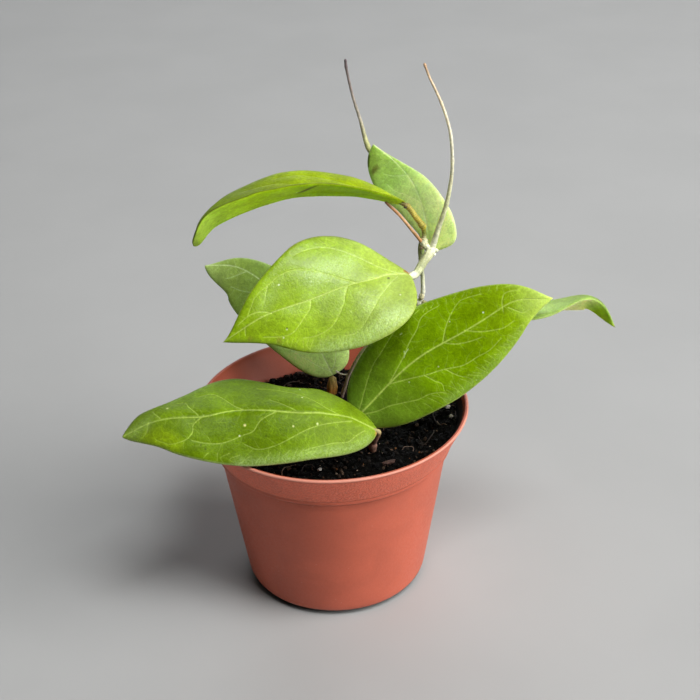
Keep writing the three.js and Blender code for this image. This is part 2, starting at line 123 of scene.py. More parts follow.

# ---- Leaves ------------------------------------------------------------------------------------

# The blades' shape is the part's. `veins` lists the side veins seen on each half as (t, v) points:
# t runs from the base to the tip and v from the midrib, 0, to the margin, -1 or 1. `midrib_drift`
# is how far the midrib's pale line strays from the middle, and the first `mirror` veins are repeated
# on the other half. `combs` are rows of small veins that run out to the margin: where a row starts
# and ends along the blade, where its veins start and end across it, and how many there are.
# `relief` is how deep the veins are sunk, 1 where it isn't given, and below 0 they stand up. `marks`
# and, on the lower face, `under_marks` are spots and bands: places, radius in mm, colour and
# strength. The pale bands on the upper face, partly dust and partly a painted sheen, give places,
# radius and strength. `finish` is the blade's specular level, how much light it lets through, the
# strength of its net of small veins and how deep light goes into it, in mm.
# In each leaf's colours, the edge band along the margin is painted light and shade: a pale painted highlight
# of the lit edge on most leaves, and on leaf_top_left a dark painted shadow line under the near margin.
LEAVES = {
    "leaf_front_left": {
        "midrib": [(12.8, -18, 59.2), (-6, -22, 68.7), (-25.7, -24, 69.2), (-45.2, -26, 70),
                   (-57.2, -27, 64.7)],
        "left": {"width": 14, "base": 0.56, "tip": 0.9, "fold": -13},
        "right": {"width": 15, "base": 0.58, "tip": 0.91, "fold": -19},
        "roll": (27, 27, 27),
        "cup": -0.15,
        "ripple": {"height": 3.5, "waves": 2.2, "phase": 0.1},
        "midrib_drift": [(0, 0), (0.1, 0.1), (0.2, 0), (0.3, -0.05), (0.5, 0.1), (0.65, -0.05), (1, 0)],
        "veins": [
            [(0.1, 0), (0.155, -0.15), (0.2, -0.26), (0.3, -0.5), (0.345, -0.6), (0.39, -0.67),
             (0.44, -0.7), (0.48, -0.6)],
            [(0.36, 0), (0.42, -0.15), (0.45, -0.35), (0.49, -0.43), (0.55, -0.58), (0.6, -0.62),
             (0.65, -0.6)],
            [(0.61, 0), (0.645, -0.22), (0.65, -0.42), (0.68, -0.62), (0.75, -0.78), (0.82, -0.72)],
            [(0.05, -0.2), (0.08, -0.45), (0.1, -0.62), (0.15, -0.66), (0.19, -0.72), (0.26, -0.8)],
            [(0.83, 0), (0.85, -0.3), (0.88, -0.5)],
            [(0.13, 0.05), (0.19, 0.22), (0.235, 0.43), (0.29, 0.65), (0.35, 0.74), (0.42, 0.7)],
            [(0.47, 0.08), (0.51, 0.22), (0.545, 0.42), (0.58, 0.6), (0.62, 0.64)],
            [(0.63, 0), (0.66, 0.3), (0.67, 0.5), (0.7, 0.62)],
            [(0.77, 0), (0.79, 0.3), (0.8, 0.5)],
            [(0.3, 0), (0.34, 0.2), (0.38, 0.35)],
        ],
        "combs": [(0.1, 0.6, -0.78, -0.96, 16)],
        "finish": (0.07, 0.15, 0.42, 1.0),
        "marks": [
            ([(0.477, -0.225)], 0.32, "dcd88c", 0.9),
            ([(0.31, -0.329)], 0.26, "d0d48c", 0.8),
            ([(0.221, -0.267)], 0.3, "dce49c", 0.8),
            ([(0.738, 0.439)], 0.3, "c4cc80", 0.7),
            ([(0.409, -0.467)], 0.3, "3a4a10", 0.6),
            ([(0.622, -0.667)], 0.3, "44540c", 0.6),
            ([(0.72, -0.75), (0.78, -0.6), (0.86, -0.7)], 2.2, "8fa810", 0.45),
            ([(0.0, 0.3), (0.006, -0.5)], 0.42, "c88c54", 0.6),
        ],
        "dust_and_sheen_bands": [
            ([(0.5, -0.98), (0.35, -0.94), (0.2, -0.9), (0.08, -0.87), (0.03, -0.7)], 1.7, 0.32),
            ([(0.45, 0.97), (0.6, 0.95), (0.75, 0.95), (0.85, 0.9)], 0.8, 0.28),
            ([(0.84, 0.1), (0.93, -0.1)], 2.0, 0.2),
        ],
        "colours": {"body": ["728c18", "5f7a08", "5c7608", "748c24"], "rim": "a9b878",
                    "vein": "aabf58", "under": ["93ab5c", "7f9a40"]},
        "seed": 11,
    },
    "leaf_front_right": {
        "midrib": [(6.5, -10.2, 58.1), (22.3, -8.3, 74.9), (36.7, -6, 83.6), (51, -4.5, 90.8),
                   (62.3, -4, 92.8)],
        "left": {"width": 13, "base": 0.47, "tip": 1.07, "fold": 6},
        "right": {"width": 15.7, "base": 0.57, "tip": 1.14, "fold": 5},
        "roll": (-56, -57, -63),
        "cup": -0.15,
        "midrib_drift": [(0, 0), (0.3, 0), (0.6, 0), (0.8, -0.2), (1, 0)],
        "veins": [
            [(0.03, -0.15), (0.08, -0.35), (0.125, -0.5), (0.165, -0.6), (0.2, -0.63), (0.24, -0.7),
             (0.28, -0.78)],
            [(0.155, 0), (0.21, -0.12), (0.257, -0.24), (0.295, -0.38), (0.345, -0.53), (0.38, -0.7),
             (0.42, -0.77), (0.47, -0.8)],
            [(0.41, 0), (0.448, -0.25), (0.49, -0.46), (0.55, -0.71), (0.58, -0.76), (0.64, -0.75)],
            [(0.7, 0), (0.715, -0.35), (0.74, -0.6), (0.79, -0.7)],
            [(0.155, 0), (0.2, 0.15), (0.27, 0.32), (0.36, 0.43), (0.44, 0.55), (0.51, 0.58),
             (0.57, 0.63), (0.63, 0.6)],
            [(0.03, 0.1), (0.07, 0.3), (0.11, 0.38), (0.14, 0.48), (0.19, 0.62), (0.24, 0.66),
             (0.3, 0.78)],
            [(0.52, 0), (0.565, 0.17), (0.625, 0.33), (0.67, 0.43), (0.72, 0.45)],
            [(0.73, 0), (0.77, 0.25), (0.8, 0.4), (0.84, 0.4)],
            [(0.41, 0), (0.46, 0.15), (0.52, 0.25), (0.56, 0.3)],
            [(0.36, 0.43), (0.39, 0.62), (0.42, 0.75)],
            [(0.27, 0.32), (0.29, 0.5), (0.31, 0.62), (0.3, 0.75)],
        ],
        "combs": [(0.2, 0.84, 0.7, 0.97, 30), (0.3, 0.75, -0.8, -0.96, 14)],
        "finish": (0.05, 0.2, 0.42, 1.0),
        "marks": [
            ([(0.25, -0.2), (0.262, -0.25), (0.28, -0.29)], 0.12, "c4d890", 0.75),
            ([(0.262, -0.25), (0.264, -0.31)], 0.1, "c4d890", 0.7),
            ([(0.62, -0.2)], 0.22, "e0ead0", 0.85),
            ([(0.34, 0.33)], 0.2, "d0dca0", 0.8),
            ([(0.48, -0.36)], 0.2, "d0dca0", 0.7),
            ([(0.21, 0.25)], 0.2, "d0dca0", 0.7),
        ],
        "dust_and_sheen_bands": [
            ([(0.28, 0.93), (0.45, 0.92), (0.6, 0.9), (0.75, 0.86)], 1.3, 0.16),
            ([(0.8, 0.2), (0.93, 0.0)], 2.6, 0.14),
            ([(0.06, -0.96), (0.2, -0.97), (0.4, -0.97)], 0.35, 0.35),
        ],
        "colours": {"body": ["70902c", "668606", "719200", "7e9c08", "c8e064"], "rim": "b4c46c",
                    "vein": "bace60", "under": ["8fa650", "8fa650"]},
        "seed": 12,
    },
    "leaf_centre": {
        "midrib": [(23, 2.5, 97.5), (7, -3, 98), (-6, -7, 95), (-18, -10, 92), (-29.5, -12, 85.5)],
        "left": {"width": 18, "base": 0.36, "tip": 1, "fold": 10},
        "right": {"width": 17, "base": 0.81, "tip": 1.45, "fold": 3},
        "roll": (22, 55, 64),
        "cup": -0.18,
        "midrib_drift": [(0, 0.12), (0.1, 0.08), (0.2, 0), (0.6, 0.02), (0.8, 0.03), (1, 0)],
        "veins": [
            [(0.03, 0.1), (0.1, 0.27), (0.2, 0.52), (0.3, 0.73), (0.4, 0.8), (0.47, 0.82)],
            [(0.24, 0), (0.3, 0.15), (0.4, 0.41), (0.5, 0.6), (0.6, 0.7), (0.67, 0.7), (0.74, 0.72),
             (0.78, 0.6), (0.82, 0.42)],
            [(0.7, 0), (0.76, 0.25), (0.82, 0.42), (0.88, 0.5)],
            [(0.06, -0.02), (0.1, -0.15), (0.16, -0.34), (0.2, -0.49), (0.27, -0.68), (0.33, -0.76),
             (0.39, -0.76)],
            [(0.28, 0), (0.31, -0.14), (0.34, -0.29), (0.41, -0.5), (0.45, -0.58), (0.52, -0.66),
             (0.58, -0.68)],
            [(0.48, 0), (0.5, -0.15), (0.54, -0.27), (0.58, -0.41), (0.63, -0.57), (0.71, -0.67),
             (0.8, -0.68)],
            [(0.86, 0), (0.88, -0.4)],
            [(0.67, 0.7), (0.7, 0.5), (0.72, 0.35)],
        ],
        "combs": [(0.1, 0.72, -0.72, -0.95, 24), (0.2, 0.6, 0.82, 0.96, 12)],
        "finish": (0.3, 0.25, 0.3, 1.0),
        "marks": [
            ([(0.101, -0.029)], 0.42, "3a3a12", 0.9),
            ([(0.616, 0.537)], 0.24, "eef4d0", 0.8),
            ([(0.723, -0.787)], 0.9, "7f7a2a", 0.6),
            ([(0.87, -0.691)], 0.7, "7f7a2a", 0.6),
            ([(0.0, 0.5), (0.02, 0.473)], 0.45, "a2643c", 0.8),
            ([(0.2, 0.97), (0.34, 0.98), (0.5, 0.97)], 0.4, "7c7c2c", 0.5),
        ],
        "dust_and_sheen_bands": [
            ([(0.5, -0.95), (0.36, -0.92), (0.22, -0.84), (0.1, -0.74)], 2.7, 0.6),
            ([(0.08, -0.1), (0.14, -0.35), (0.24, -0.5)], 3.0, 0.2),
            ([(0.25, 0.42), (0.34, 0.4), (0.42, 0.3)], 3.6, 0.5),
            ([(0.3, 0.05), (0.5, 0.08)], 1.6, 0.25),
            ([(0.69, 0.45), (0.73, 0.3)], 2.2, 0.3),
        ],
        "colours": {"body": ["a0b44c", "90ac30", "8aa818", "809e0c"], "rim": "8c9834", "vein": "c0d468",
                    "under": ["a9bc60", "98ac48"]},
        "seed": 13,
    },
    "leaf_top_left": {
        "midrib": [(21.8, 12, 115.5), (5, 9, 120), (-12, 6, 120.5), (-29.5, 2, 115.7), (-36.5, -1, 109.5)],
        "left": {"width": 12.8, "base": 0.8, "tip": 0.55, "fold": 40},
        "right": {"width": 12.2, "base": 0.93, "tip": 0.98, "fold": 20},
        "roll": (0, -4, -16),
        "cup": -0.1,
        "veins": [
            [(0.1, 0), (0.2, 0.3), (0.3, 0.55), (0.4, 0.72), (0.5, 0.74)],
            [(0.35, 0), (0.43, 0.3), (0.52, 0.55), (0.62, 0.7)],
            [(0.58, 0), (0.64, 0.3), (0.72, 0.55), (0.8, 0.6)],
        ],
        "mirror": 3,
        "finish": (0.06, 0.5, 0.2, 1.5),
        # This dark band along the near margin is painted shade: the shadow line under the edge.
        "marks": [([(0.3, -0.94), (0.5, -0.95), (0.7, -0.95), (0.88, -0.9)], 0.4, "4c5810", 0.8)],
        "under_marks": [
            ([(0.38, -0.95), (0.41, -0.6), (0.44, -0.2)], 0.3, "34220c", 0.95),
            ([(0.0, -0.2), (0.015, -0.5)], 0.45, "1c1408", 0.9),
        ],
        "dust_and_sheen_bands": [([(0.5, 0.97), (0.7, 0.96), (0.85, 0.95)], 0.5, 0.3)],
        "colours": {"body": ["98ac18", "8ca008", "8ea40c", "788c1c", "70842a", "788c30"],
                    # The dark edge colour is painted shade: the shadow line along the near margin.
                    "rim": "5c6410", "vein": "98a838",
                    # The lower face's bright yellow-green is partly its own colour and partly painted light,
                    # for light shining through the blade.
                    "under": ["a0b820", "8cb008", "9cbc10", "b0d020", "b0d448", "90a83c"]},
        "seed": 14,
    },
    "leaf_top_rear": {
        "midrib": [(29.7, 15, 98.5), (28.4, 21, 106.5), (25.7, 28, 113.3), (20.7, 34, 118),
                   (13.7, 39, 122.5)],
        "left": {"width": 10.3, "base": 0.95, "tip": 0.53, "fold": 7},
        "right": {"width": 8.7, "base": 0.25, "tip": 1.97, "fold": -3},
        "roll": (54, 55, 55),
        "cup": -0.15,
        "veins": [
            [(0.05, 0), (0.12, 0.2), (0.2, 0.4), (0.3, 0.62), (0.4, 0.7)],
            [(0.04, 0), (0.14, -0.25), (0.26, -0.5), (0.4, -0.66), (0.5, -0.68)],
            [(0.36, 0), (0.46, -0.3), (0.58, -0.55), (0.7, -0.62)],
            [(0.62, 0), (0.7, -0.3), (0.78, -0.5)],
        ],
        "relief": 0.3,
        "finish": (0.2, 0.7, 0.1, 2.0),
        "marks": [
            ([(0.866, -0.78), (0.862, -0.6)], 0.75, "63602a", 0.85),
            ([(0.93, -0.97), (0.97, -0.9)], 0.5, "3d3a18", 0.8),
            ([(0.0, 0.0), (0.3, 0.0), (0.62, 0.0)], 0.5, "dcf0a4", 0.6),
        ],
        "dust_and_sheen_bands": [([(0.2, 0.1), (0.45, 0.2), (0.6, 0.1)], 4.5, 0.22)],
        # The body colours are paled, most at the base: painted light, for light that shines through the
        # blade from behind.
        "colours": {"body": ["e0fa98", "dcf4a0", "a8c864", "7e9838"], "rim": "b4c890", "vein": "dcf0a8",
                    "under": ["a3b878", "8ca860"]},
        "seed": 15,
    },
    "leaf_rear_left": {
        "midrib": [(0.2, 18.5, 56), (-7, 22, 70.3), (-16.8, 27, 80.6), (-27, 31, 86.8), (-38, 33.2, 87)],
        "left": {"width": 13.4, "base": 0.5, "tip": 0.66, "fold": 6},
        "right": {"width": 9, "base": 0.31, "tip": 1.2, "fold": 5},
        "roll": (55, 54, 55),
        "cup": -0.12,
        "veins": [
            [(0.02, 0), (0.06, -0.3), (0.12, -0.5), (0.2, -0.66), (0.3, -0.72)],
            [(0.02, 0), (0.05, 0.3), (0.12, 0.55), (0.2, 0.7)],
            [(0.2, 0), (0.3, -0.25), (0.42, -0.5), (0.52, -0.68), (0.6, -0.7)],
            [(0.45, 0), (0.55, -0.25), (0.66, -0.5), (0.76, -0.62)],
            [(0.7, 0), (0.77, -0.3), (0.84, -0.5)],
            [(0.25, 0), (0.33, 0.3), (0.42, 0.6), (0.5, 0.7)],
        ],
        "relief": -0.15,
        "finish": (0.15, 0.15, 0.1, 1.0),
        "dust_and_sheen_bands": [([(0.05, -0.5), (0.15, -0.4)], 4.0, 0.15)],
        # The body is paler towards the base: partly its own colour, partly painted light on the lower part,
        # which lies in the shade of other leaves.
        "colours": {"body": ["e0ff94", "d4ff8c", "a0c45c", "98b450", "a8c068"], "rim": "b4c88c",
                    "vein": "e4f8b8", "under": ["9cb078", "8ca060"]},
        "seed": 16,
    },
    "leaf_far_right": {
        "midrib": [(33.7, 12, 83.8), (47.5, 8, 86.6), (62, 6, 86.5), (74.5, 4, 88.5), (81.6, 2, 79.5)],
        "left": {"width": 9.6, "base": 0.7, "tip": 1.1, "fold": -30},
        "right": {"width": 10.4, "base": 0.84, "tip": 1.5, "fold": 2},
        "roll": (3, 6, 66),
        "cup": -0.15,
        "veins": [
            [(0.1, 0), (0.2, 0.3), (0.3, 0.55), (0.4, 0.7)],
            [(0.35, 0), (0.43, 0.3), (0.52, 0.55), (0.6, 0.68)],
            [(0.55, 0), (0.62, 0.3), (0.7, 0.55)],
        ],
        "mirror": 2,
        "relief": 0.3,
        "finish": (0.2, 0.7, 0.1, 2.0),
        "dust_and_sheen_bands": [([(0.3, 0.5), (0.55, 0.6)], 3.0, 0.2)],
        # Both faces darken towards the tip: painted shade on the drooping tip. Before that the lower face is
        # painted very pale: painted light, where it shows as the leaf's lit band.
        "colours": {"body": ["8a9c3c", "94ac48", "9cb858", "a0bc60", "7c9a30", "6c8a14"], "rim": "b4c87c",
                    "vein": "b4c878", "under": ["c0e07c", "d0f088", "d8fc90", "e8ffa8", "f0ffb0",
                                                "ecffa8", "a4c408", "88a408"]},
        "seed": 17,
    },
}

BLADE_THICKNESS = 0.9
CREASE = 0.05
EDGE_ROUNDING = 1.1
MARGIN_STEP = 0.4
MARGIN_ROWS = (0.1, 0.28, 0.6)
VEIN_STEP = 0.4
VEIN_ROWS = (0.65, 1.4, 2.6)
GROUND_STEP = 0.85
UNDER_STEP = 1.4
VEIN_REACH = 3.0
SMALL_MARK = 0.6
STRAIGHT_MIDRIB = [(0, 0), (1, 0)]
# Radius in mm and strength of each kind of vein, at its start and its end.
MIDRIB = ((0.26, 0.13), (1.0, 0.75))
SIDE_VEIN = ((0.16, 0.1), (0.66, 0.42))
TWIG = ((0.11, 0.09), (0.24, 0.08))
TOOTH = ((0.13, 0.1), (0.36, 0.2))
SMALL_VEINS = (TWIG, TOOTH)
# How near in mm a vein's points, and those in the rows beside it, may come to other points.
VEIN_GAP = 0.22
ROW_GAP = 0.12
# How near a row along the margin may come to other points, as a part of its distance from the
# margin, and how near the grid may come to them, as a part of its step.
ROW_SPACING = 0.8
GROUND_SPACING = 0.62
# Twigs: angle from the vein and bend in degrees, length in mm, and how many of the vein's points
# come before the first one and from one to the next.
TWIG_ANGLE = (48, 80)
TWIG_BEND = (-15, 50)
TWIG_LENGTH = (1.6, 4.2)
TWIG_START = (2, 6)
TWIG_SKIP = (3, 8)
# In mm: how much the blade swells between its veins and how far from them, how deep the veins are
# sunk, how far the midrib stands out below, how high the broad waves are, how near the margin all
# but the waves fade, and the width of the band of painted edge light and shade along the margin.
PUCKER = 0.16
PUCKER_REACH = 2.2
VEIN_GROOVE = 0.07
KEEL = 0.5
WAVES = 0.28
RELIEF_FADE = 1.2
RIM_WIDTH = 0.2
# Specks in the leaves: size of their cells in mm, radius where they begin and end to fade as a part
# of it, how bright a cell's random colour has to be for one, strength and colour.
LEAF_SPECKS = [(4.0, 0.05, 0.085, 0.71, 0.55, "e6edc0"), (5.3, 0.035, 0.07, 0.7, 0.6, "2c3410")]
# Colour of the leaves' pale bands: partly dust, partly a painted sheen.
DUST_AND_SHEEN_COLOUR = "c8e494"
UV_MARGIN = 0.01

# ---- Stems -------------------------------------------------------------------------------------

# Round shoots through `points`, with a radius at each. `colours` are spread evenly from the first
# end to the last. `knots` are swellings: place from 0 to 1, extra radius and half-length. `rings`
# gives the depth and the spacing of creases around a shoot, and `flutes` the number and the depth of
# furrows along it. Both depths are parts of the radius.
STEMS = {
    "main_vine": {
        "points": [(2.5, 16, 44), (2.7, 15.8, 49.5), (3.9, 15.6, 54), (5.3, 15.4, 58.5), (9.4, 15, 66.5),
                   (17.5, 14.5, 75.5), (24, 14.2, 81), (26.8, 14, 84.6), (27, 14.1, 90), (26.4, 14.6, 96.5),
                   (26.1, 14.6, 100), (26.6, 14.2, 102.4)],
        "radii": [0.6, 0.55, 0.5, 0.5, 0.5, 0.5, 0.55, 0.7, 0.6, 0.6, 0.5, 0.7],
        "colours": ["7d6350", "a08a78", "b8a896", "bcb490", "ccc894", "dcdcb4", "ecead0", "f4f2dc",
                    "c0c48c", "8a8c50"],
        "knots": [(0.7, 0.35, 0.9), (0.13, 0.12, 0.7), (0.76, 0.08, 0.5)],
        "slot": "stem", "seed": 31,
    },
    "front_stem": {
        "points": [(11.8, -12, 44), (11.5, -12.8, 49.3), (11.3, -13.4, 52.7)],
        "radii": [1.1, 1.05, 1.15],
        "colours": ["4a3020", "6d4a34", "9a7464"],
        "knots": [(0.8, 0.2, 0.8)],
        "slot": "rootstock", "seed": 32,
    },
    "rear_stem": {
        "points": [(-0.8, 15.5, 44), (-0.5, 16.6, 49), (-0.2, 17.6, 53), (0.1, 18.2, 55.4)],
        "radii": [1.5, 1.55, 1.5, 1.1],
        "colours": ["5a3512", "9a6420", "b87c2c", "b8a060"],
        "knots": [(0.75, 0.12, 0.8)],
        "flutes": (7, 0.06),
        "slot": "rootstock", "seed": 33,
    },
    "petiole_front_left": {
        "points": [(11.6, -14, 52.8), (12.3, -16.3, 56), (12.9, -17.9, 58.8), (11.2, -18.3, 60)],
        "radii": [1.0, 0.9, 0.85, 0.3],
        "colours": ["8a6454", "a88070", "a9a35c"],
        "slot": "stem", "seed": 34,
    },
    "petiole_front_right": {
        "points": [(10.7, -12.7, 52.9), (8.9, -11.6, 55.5), (6.9, -10.4, 57.9), (7.6, -10.2, 59.5)],
        "radii": [0.95, 0.85, 0.8, 0.3],
        "colours": ["8a6454", "a88a68", "93a04c"],
        "slot": "stem", "seed": 35,
    },
    "petiole_centre": {
        "points": [(29.7, 13.3, 100.2), (28.3, 11.2, 99.2), (26.87, 9, 98.4), (24.9, 5, 97.1),
                   (23.3, 3, 97.1), (20.8, 1.6, 97.4)],
        "radii": [1.25, 1.28, 1.25, 1.12, 1.05, 0.3],
        "colours": ["ececd0", "cccca0", "b4b684", "b4b888", "c8cc9c", "ecead0", "d8dca0"],
        "knots": [(0.78, 0.14, 0.6), (0.16, 0.08, 0.5)],
        "flutes": (7, 0.03),
        "slot": "stem", "seed": 36,
    },
    "petiole_top_left": {
        "points": [(29.2, 13.4, 100), (27.9, 13.5, 101.2), (27.2, 13.6, 102.5), (27.35, 13.8, 104.3),
                   (27.15, 13.7, 106.6), (26.4, 13.3, 108.3), (24.6, 12.8, 111), (22.5, 12.2, 114.2),
                   (19.5, 11.6, 116)],
        "radii": [1.0, 1.05, 1.1, 0.6, 0.72, 0.86, 0.82, 0.8, 0.3],
        "colours": ["dcdcb8", "dcd8b4", "d0cca0", "7c8434", "a0983c", "b8a844", "bca83c", "b8a848",
                    "b4a444", "6a5a20", "8a9428"],
        "knots": [(0.43, 0.2, 0.9), (0.83, 0.1, 0.5)],
        "rings": (0.07, 0.62),
        "slot": "stem", "seed": 37,
    },
    "petiole_top_rear": {
        "points": [(26.7, 14.6, 96.9), (28, 15, 97), (29.3, 15.2, 98), (29.3, 16.8, 100.6)],
        "radii": [0.5, 0.48, 0.5, 0.25],
        "colours": ["9a9a5a", "93a85a", "8fae5a"],
        "slot": "stem", "seed": 38,
    },
    "petiole_far_right": {
        "points": [(26.7, 13.9, 83.2), (28.6, 13.6, 82.5), (30.7, 13, 82.2), (33.7, 12.1, 83),
                   (36.5, 11.3, 84.2)],
        "radii": [0.6, 0.55, 0.55, 0.6, 0.3],
        "colours": ["9a9260", "93a058", "8fae4a"],
        "slot": "stem", "seed": 39,
    },
    "right_tendril": {
        "points": [(29.3, 13.4, 99.8), (30, 13.4, 101.9), (31, 13.3, 105.7), (33, 12.9, 112.6),
                   (34.2, 12.4, 118.8), (34.8, 11.7, 126), (34.3, 11, 134.8), (33, 11, 140.5),
                   (31.5, 11, 144.8), (29.9, 11.5, 148.4), (28.3, 12, 151.7), (26.9, 12.5, 155.4)],
        "radii": [1.0, 0.92, 0.78, 0.64, 0.56, 0.48, 0.43, 0.4, 0.38, 0.36, 0.32, 0.32],
        "colours": ["ececd4", "dcdcb8", "d0d0a4", "d4d4a8", "dcd8b4", "e6e0c4", "f0e8cc", "f4e6c8",
                    "f0dcb8", "e8cca8", "b89470"],
        "knots": [(0.27, 0.14, 0.6), (0.5, 0.05, 0.5), (0.62, 0.06, 0.5), (0.8, 0.07, 0.4),
                  (0.99, 0.1, 0.5)],
        "slot": "stem", "seed": 40,
    },
    "left_tendril": {
        "points": [(26.6, 14.8, 96.4), (27.2, 19, 97.3), (26.6, 28, 101.3), (23, 39, 106), (17.2, 44, 112.2),
                   (13.7, 46, 116), (11.8, 46, 120.2), (10, 46, 127.6), (7.9, 46, 135), (6.3, 46, 142.8),
                   (6, 46, 146)],
        "radii": [0.6, 0.6, 0.6, 0.6, 0.6, 0.72, 0.76, 0.5, 0.4, 0.36, 0.4],
        "colours": ["8a9a4a", "8a9a4a", "97a84c", "a8b058", "b8bc64", "c4c484", "b4aa98", "90827a",
                    "5a4c50"],
        "knots": [(0.62, 0.12, 0.9), (0.8, 0.08, 0.5), (0.97, 0.12, 0.6)],
        "slot": "stem", "seed": 41,
    },
    "aerial_root": {
        "points": [(26.7, 13.3, 102.5), (23.2, 12.3, 107.6), (20.1, 11.4, 112.1), (17.2, 10.7, 115.4),
                   (16.2, 10.4, 116.5)],
        "radii": [0.5, 0.44, 0.42, 0.4, 0.3],
        "colours": ["c08850", "c89868", "cc9c70", "bc8458", "7a5034"],
        "slot": "rootstock", "seed": 42,
    },
    "surface_rootlet": {
        "points": [(1.1, 17.8, 57.9), (2.6, 17, 57.2), (4.2, 16.6, 57.2), (5.3, 16.3, 57.5)],
        "radii": [0.3, 0.26, 0.25, 0.3],
        "colours": ["e0d8cc", "ece6de", "dcd4c8"],
        "slot": "stem", "seed": 43,
    },
}

# Knobs where the shoots part: centre, radius and height in mm, and colour.
NODES = [
    ((29.3, 13.3, 99.9), 1.4, 1.15, "dcdcbc"),
    ((30.6, 13, 100), 0.75, 0.7, "e6e6cc"),
    ((30.1, 12.5, 99), 0.55, 0.55, "ecebd4"),
    ((27.2, 13.5, 102.4), 1.15, 1.25, "d6d2ac"),
    ((26.6, 13.4, 101), 0.65, 0.7, "c4a890"),
    ((28.1, 13.2, 101.4), 0.7, 0.6, "e0dcc0"),
    ((27, 13.5, 107.4), 0.92, 0.95, "b8a838"),
    ((21.9, 11.5, 114.3), 0.5, 0.25, "1c1408"),
    ((23.7, 3.1, 96.8), 0.95, 0.9, "e4e0c0"),
    ((22.6, 2.9, 97.7), 0.6, 0.5, "d8c8a0"),
    ((26.7, 13.6, 84.9), 0.85, 0.95, "ccc49c"),
]

STEM_SIDES = 20
FLUTED_SIDES = 48
STEM_STEP = 0.32
RINGED_STEP = 0.1
# Painted shade and light on the shoots: how strongly their colour follows their relief, darker in creases,
# furrows and dents and lighter on ridges, and the limits of that.
CREASE_PAINTED_SHADE = 2.2
CREASE_PAINTED_SHADE_LIMITS = (0.45, 1.2)
PATH_SAMPLES = 400
NO_RINGS = (0, 1)
NO_FLUTES = (1, 0)
WOBBLE = 0.05

# ---- Bits on the soil --------------------------------------------------------------------------

# Loose bits: place, size along X, Y and Z, turn about +Z in degrees, colour and slot.
SURFACE_BITS = {
    "bark_chip": {"at": (15.8, -20.5), "size": (5.4, 2.6, 1.8), "turn": 25, "colour": "54362a",
                  "slot": "bark", "seed": 51},
    "perlite_grain_1": {"at": (-3.8, -23), "size": (1.6, 1.4, 1.3), "turn": 10, "colour": "cac4ba",
                        "slot": "perlite", "seed": 52},
    "perlite_grain_2": {"at": (34, 1.5), "size": (1.9, 1.6, 1.4), "turn": 50, "colour": "cac4ba",
                        "slot": "perlite", "seed": 53},
    "perlite_grain_3": {"at": (34.6, -3.5), "size": (1.5, 1.5, 1.3), "turn": 80, "colour": "b4aca0",
                        "slot": "perlite", "seed": 54},
}
BIT_GAP = 0.3
CHIP_CLEARANCE = 8.0

SOIL_REACH = 37.0
SOIL_CLEARANCE = 0.9
CRUMBS = 2480
CRUMB_SIZES = (0.4, 2.0)
CRUMB_COLOURS = ["030202", "040303", "060504", "080706", "0c0a08", "18120d", "2e2219", "46372b"]
RARE_CRUMB_COLOURS = ["6b4526", "806450", "9a8674", "4c3626"]
RARE_CRUMBS = 0.06
RARE_CRUMB_LARGEST = 0.8
CRUMB_SKEW = 2.6
CRUMB_SINK = (-0.1, 0.25)
CRUMB_ROUGHNESS = 0.22
FIBRES = 60
# A fibre's steps: how many, their length in mm and their turn in radians. Then its radius in mm.
FIBRE_STEPS = 5
FIBRE_STEP = (0.8, 1.9)
FIBRE_CURL = (-1.1, 1.1)
FIBRE_RADIUS = (0.08, 0.2)
FIBRE_SIDES = 7
FIBRE_RING_STEP = 0.35
FIBRE_COLOURS = ["1c130d", "2c2018", "44342a", "6e5848"]


# ---- Small helpers -----------------------------------------------------------------------------

def linear(hex_colour):
    """The linear RGB of a colour written as six hexadecimal digits."""
    values = np.array([int(hex_colour[i:i + 2], 16) for i in (0, 2, 4)]) / 255
    return np.where(values <= 0.04045, values / 12.92, ((values + 0.055) / 1.055) ** 2.4)


def lattice_noise(points, cell, seed):
    """Smooth noise from -1 to 1 at points (n, 3), with features about `cell` mm across."""
    place = np.asarray(points, float) / cell
    base = np.floor(place).astype(np.int64)
    part = place - base
    part = part * part * (3 - 2 * part)
    total = np.zeros(len(place))
    for corner in range(8):
        bits = np.array([corner & 1, corner >> 1 & 1, corner >> 2 & 1])
        key = ((base + bits) * np.array([73856093, 19349663, 83492791])).sum(1) + seed * 7919
        key = (key ^ (key >> 13)) * 1274126177
        key = key ^ (key >> 16)
        value = (key & 0xFFFF) / 32767.5 - 1
        total += np.where(bits, part, 1 - part).prod(1) * value
    return total


def rough_noise(points, cell, seed, octaves=3):
    """lattice_noise summed over octaves, each half as large as the last."""
    total = np.zeros(len(points))
    for octave in range(octaves):
        total += lattice_noise(points, cell / 2 ** octave, seed + octave) / 2 ** octave
    return total


def spline(control, t):
    """The part's curve: Catmull-Rom through evenly spaced control points, at t = 0 to 1."""
    c = np.asarray(control, float)
    c = np.vstack([2 * c[0] - c[1], c, 2 * c[-1] - c[-2]])
    place = np.clip(t, 0, 1) * (len(c) - 3)
    i = np.minimum(place.astype(int), len(c) - 4)
    w = (place - i)[:, None]
    a, b, d, e = c[i], c[i + 1], c[i + 2], c[i + 3]
    return 0.5 * (2 * b + (d - a) * w + (2 * a - 5 * b + 4 * d - e) * w ** 2
                  + (3 * b - a - 3 * d + e) * w ** 3)


def unit(vectors):
    length = np.linalg.norm(vectors, axis=-1, keepdims=True)
    return vectors / np.maximum(length, 1e-12)


def blend(start, end, share):
    """From `start` to `end` as the share goes from 0 to 1."""
    return start + (end - start) * share


def circle_angles(count):
    return np.linspace(0, 2 * math.pi, count, endpoint=False)


def lengths_along(path):
    """Length of a line from its start up to each of its points."""
    return np.concatenate([[0], np.cumsum(np.linalg.norm(np.diff(path, axis=0), axis=1))])


